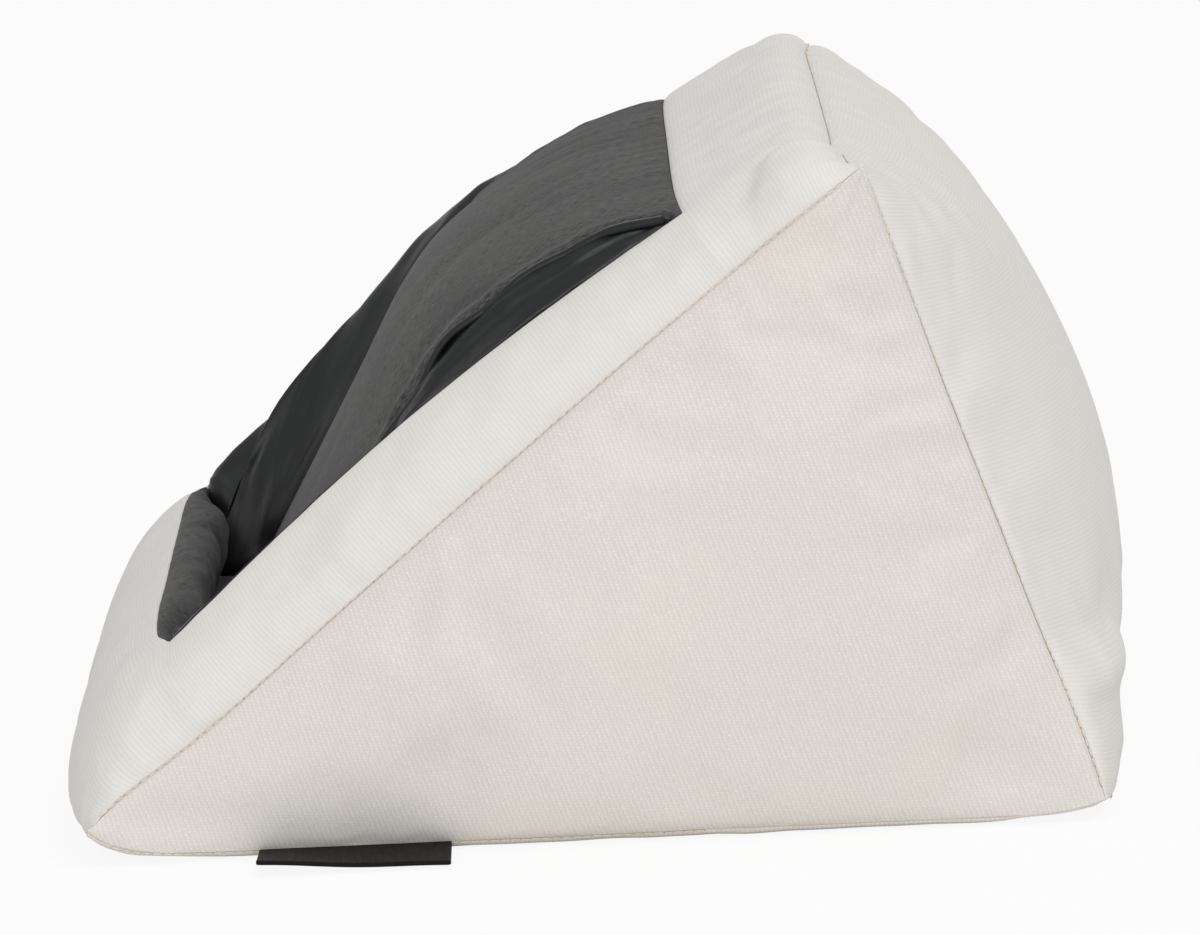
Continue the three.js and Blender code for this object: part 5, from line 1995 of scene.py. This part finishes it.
@dataclass
class SeamThread:
    """The sewing thread in the seams of the cover and of the pocket."""

    pitch: float = 0.0027
    length: float = 0.0031
    thread: float = 0.00026
    unevenness: float = 0.12
    lift: float = 0.0003
    ends: tuple[float, float] = (0.03, 0.97)
    base_from: float = 0.4
    reach: float = 0.95
    front_share: float = 0.9
    roll: float = 0.0013
    roll_lift: float = 0.0012
    roll_sway: float = 0.0008
    far_roll_from: float = 0.25

    def build(
        self, form: CushionForm, cover: Cover, pocket: Pocket, tailor: Tailor, growers: Growers,
        finishes: Finishes,
    ) -> None:
        """Sews along every seam."""
        share = np.linspace(*self.ends, 120)
        light, dark = [], []
        for hand in Hand:
            turn = (hand.value, 1.0, 1.0)
            light.append((form.slope_seam(share) * turn, cover.face))
            light.append((form.back_seam(share) * turn, cover.back))
            light.append((form.base_seam(share[share > self.base_from]) * turn, cover.base))
            dark.append((form.pocket_edge(share, hand), pocket.gussets[hand]))
        v = np.linspace(-self.reach, self.reach, 140)[None, :]
        light.append((form.face(np.array([form.ridge_at]), v)[0], cover.face))
        light.append((form.face(np.array([0.0]), self.front_share * v)[0], cover.face))
        light.append((form.back_face(np.array([form.window_at + 2.0]), v)[0], cover.back))
        for hand in Hand:
            self._roll(hand, form, pocket, tailor, growers, finishes)
        light = [tailor.groove(line, panel, self.lift, cover.dents) for line, panel in light]
        dark = [tailor.groove(line, panel, self.lift, pocket.folds) for line, panel in dark]
        plan = (("cover_stitches", light, "cover_cloth", finishes.thread, 21),
                ("lining_stitches", dark, "napped_lining", finishes.dark_thread, 22))
        for name, lines, slot, finish, seed in plan:
            values = {
                "Pitch": self.pitch, "Length": self.length, "Thread": self.thread,
                "Unevenness": self.unevenness, "Seed": seed, "Material": finish,
            }
            piece = grow(name, growers.stitches, values, tuple(lines))
            place(piece, CUSHION, slot, (), finish)

    def _roll(
        self, hand: Hand, form: CushionForm, pocket: Pocket, tailor: Tailor, growers: Growers,
        finishes: Finishes,
    ) -> None:
        """The rolled edge of a gusset, sewn along the backrest."""
        start = self.ends[0] if hand is Hand.LEFT else self.far_roll_from
        share = form.backrest_share * np.linspace(start, self.ends[1], 90)
        edge = form.pocket_edge(share, hand)
        line = tailor.groove(edge, pocket.gussets[hand], self.roll_lift, pocket.folds)
        line += (self.roll_sway * ripple(line, 0.03, 31))[:, None] * np.array([0.0, *form.slope.up])
        values = {
            "Radius": self.roll, "Unevenness": 0.5, "Lumps": 90.0, "Step": 0.0015,
            "Material": finishes.smooth,
        }
        piece = grow(f"pocket_rolled_edge_{hand.name.lower()}", growers.piping, values, (line,))
        place(piece, CUSHION, "smooth_lining", (), finishes.smooth)


@dataclass
class Studio:
    """Pale floor, soft light, and the camera at the photograph's angle."""

    target: Spot = (0.120, 0.0, 0.0943)
    distance: float = 2.286
    elevation: float = 9.0
    roll: float = 2.6
    lens: float = 257.2
    floor_half: float = 6.0
    floor_glow: float = 0.9
    soft_light: float = 0.59

    def build(self) -> None:
        """Makes the stage, the lamps, the world and the camera."""
        scene = bpy.context.scene
        scene.view_settings.view_transform = "Standard"
        self._camera(scene)
        self._floor()
        self._world(scene)
        self._lamp("KeyPanel", (0.4, 0.9, 2.1), (0.0, 0.0, 0.08), 1.7, 18.0)
        self._lamp("FillPanel", (2.3, -0.5, 0.75), (0.0, 0.0, 0.06), 1.5, 5.2)
        self._lamp("LowPanel", (2.0, -0.25, 0.30), (0.15, 0.0, 0.03), 0.6, 8.4)

    def _camera(self, scene: bpy.types.Scene) -> None:
        """Puts the camera where the photograph was taken from."""
        lift, tilt = math.radians(self.elevation), math.radians(self.roll)
        ahead = Vector((-math.cos(lift), 0.0, -math.sin(lift)))
        right = Vector((0.0, 1.0, 0.0))
        up = Vector((-math.sin(lift), 0.0, math.cos(lift)))
        across = math.cos(tilt) * right - math.sin(tilt) * up
        above = math.sin(tilt) * right + math.cos(tilt) * up
        spot = Vector(self.target) - self.distance * ahead
        data = bpy.data.cameras.new("PhotoCamera")
        data.lens = self.lens
        data.sensor_width = 36.0
        data.sensor_fit = "HORIZONTAL"
        data.clip_start = 0.05
        data.clip_end = 50.0
        camera = add_object("PhotoCamera", data)
        turn = Matrix((across, above, -ahead)).transposed().to_4x4()
        camera.matrix_world = Matrix.Translation(spot) @ turn
        scene.camera = camera

    def _seen(self, desk: NodeDesk) -> Socket:
        """1 for what the camera sees, also in metal and through glass."""
        path = desk.add("ShaderNodeLightPath").outputs
        seen = desk.math("MAXIMUM", path["Is Camera Ray"], path["Is Glossy Ray"])
        return desk.math("MAXIMUM", seen, path["Is Transmission Ray"])

    def _floor(self) -> None:
        """A wide pale floor that keeps the shadow."""
        corners = self.floor_half * np.array([(-1, -1, 0), (1, -1, 0), (1, 1, 0), (-1, 1, 0)])
        piece = make_piece("floor", corners, [[0, 1, 2, 3]])
        material, desk, shader = new_finish("FloorPaper")
        where = desk.add("ShaderNodeTexCoord").outputs["Object"]
        colour = desk.blend(desk.noise(where, 3.0), rgb("E6E6E4"), rgb("EAEAE8"))
        desk.feed(shader, {"Base Color": colour, "Roughness": 0.9})
        glow = desk.add("ShaderNodeEmission", {"Color": (1.0, 1.0, 1.0, 1.0), "Strength": 1.0}).outputs[0]
        seen = desk.math("MULTIPLY", self._seen(desk), self.floor_glow)
        both = desk.add("ShaderNodeMixShader", {0: seen, 1: shader.outputs[0], 2: glow}).outputs[0]
        desk.tree.links.new(both, material.node_tree.nodes["Material Output"].inputs[0])
        piece.data.materials.append(material)

    def _world(self, scene: bpy.types.Scene) -> None:
        """Plain soft light from all round, and white behind."""
        world = bpy.data.worlds.new("Studio")
        world.use_nodes = True
        desk = NodeDesk(world.node_tree)
        strength = desk.ramp(self._seen(desk), 0.0, 1.0, self.soft_light, 1.0)
        ground = world.node_tree.nodes["Background"]
        desk.feed(ground, {"Color": (1.0, 1.0, 1.0, 1.0), "Strength": strength})
        scene.world = world

    def _lamp(self, name: str, spot: Spot, aim: Spot, size: float, power: float) -> None:
        """A square soft lamp at spot that points at aim."""
        data = bpy.data.lights.new(name, "AREA")
        data.size = size
        data.energy = power
        lamp = add_object(name, data)
        ahead = Vector(aim) - Vector(spot)
        lamp.matrix_world = Matrix.Translation(spot) @ ahead.to_track_quat("-Z", "Y").to_matrix().to_4x4()


def main() -> None:
    """Builds the cushion in order and reports each piece."""
    logging.basicConfig(level=logging.INFO, format="%(name)s %(message)s")
    Studio().build()
    finishes = Finishes()
    growers = Growers()
    cutter = PatternCutter(CushionForm())
    cover, pocket = Cover(cutter), Pocket(cutter)
    panels = cover.panels() + pocket.panels()
    skin = [*panels, cutter.zip_patch()]
    drift = CoverSimulation().run(skin)
    tailor = Tailor(panels, drift, eases(cutter.form))
    cover.build(tailor, finishes)
    pocket.build(tailor, finishes)
    InnerBag().build(skin, finishes)
    SideLabel().build(finishes)
    ZipClosure().build(growers, finishes)
    SeamThread().build(cutter.form, cover, pocket, tailor, growers, finishes)


if __name__ == "__main__":
    main()
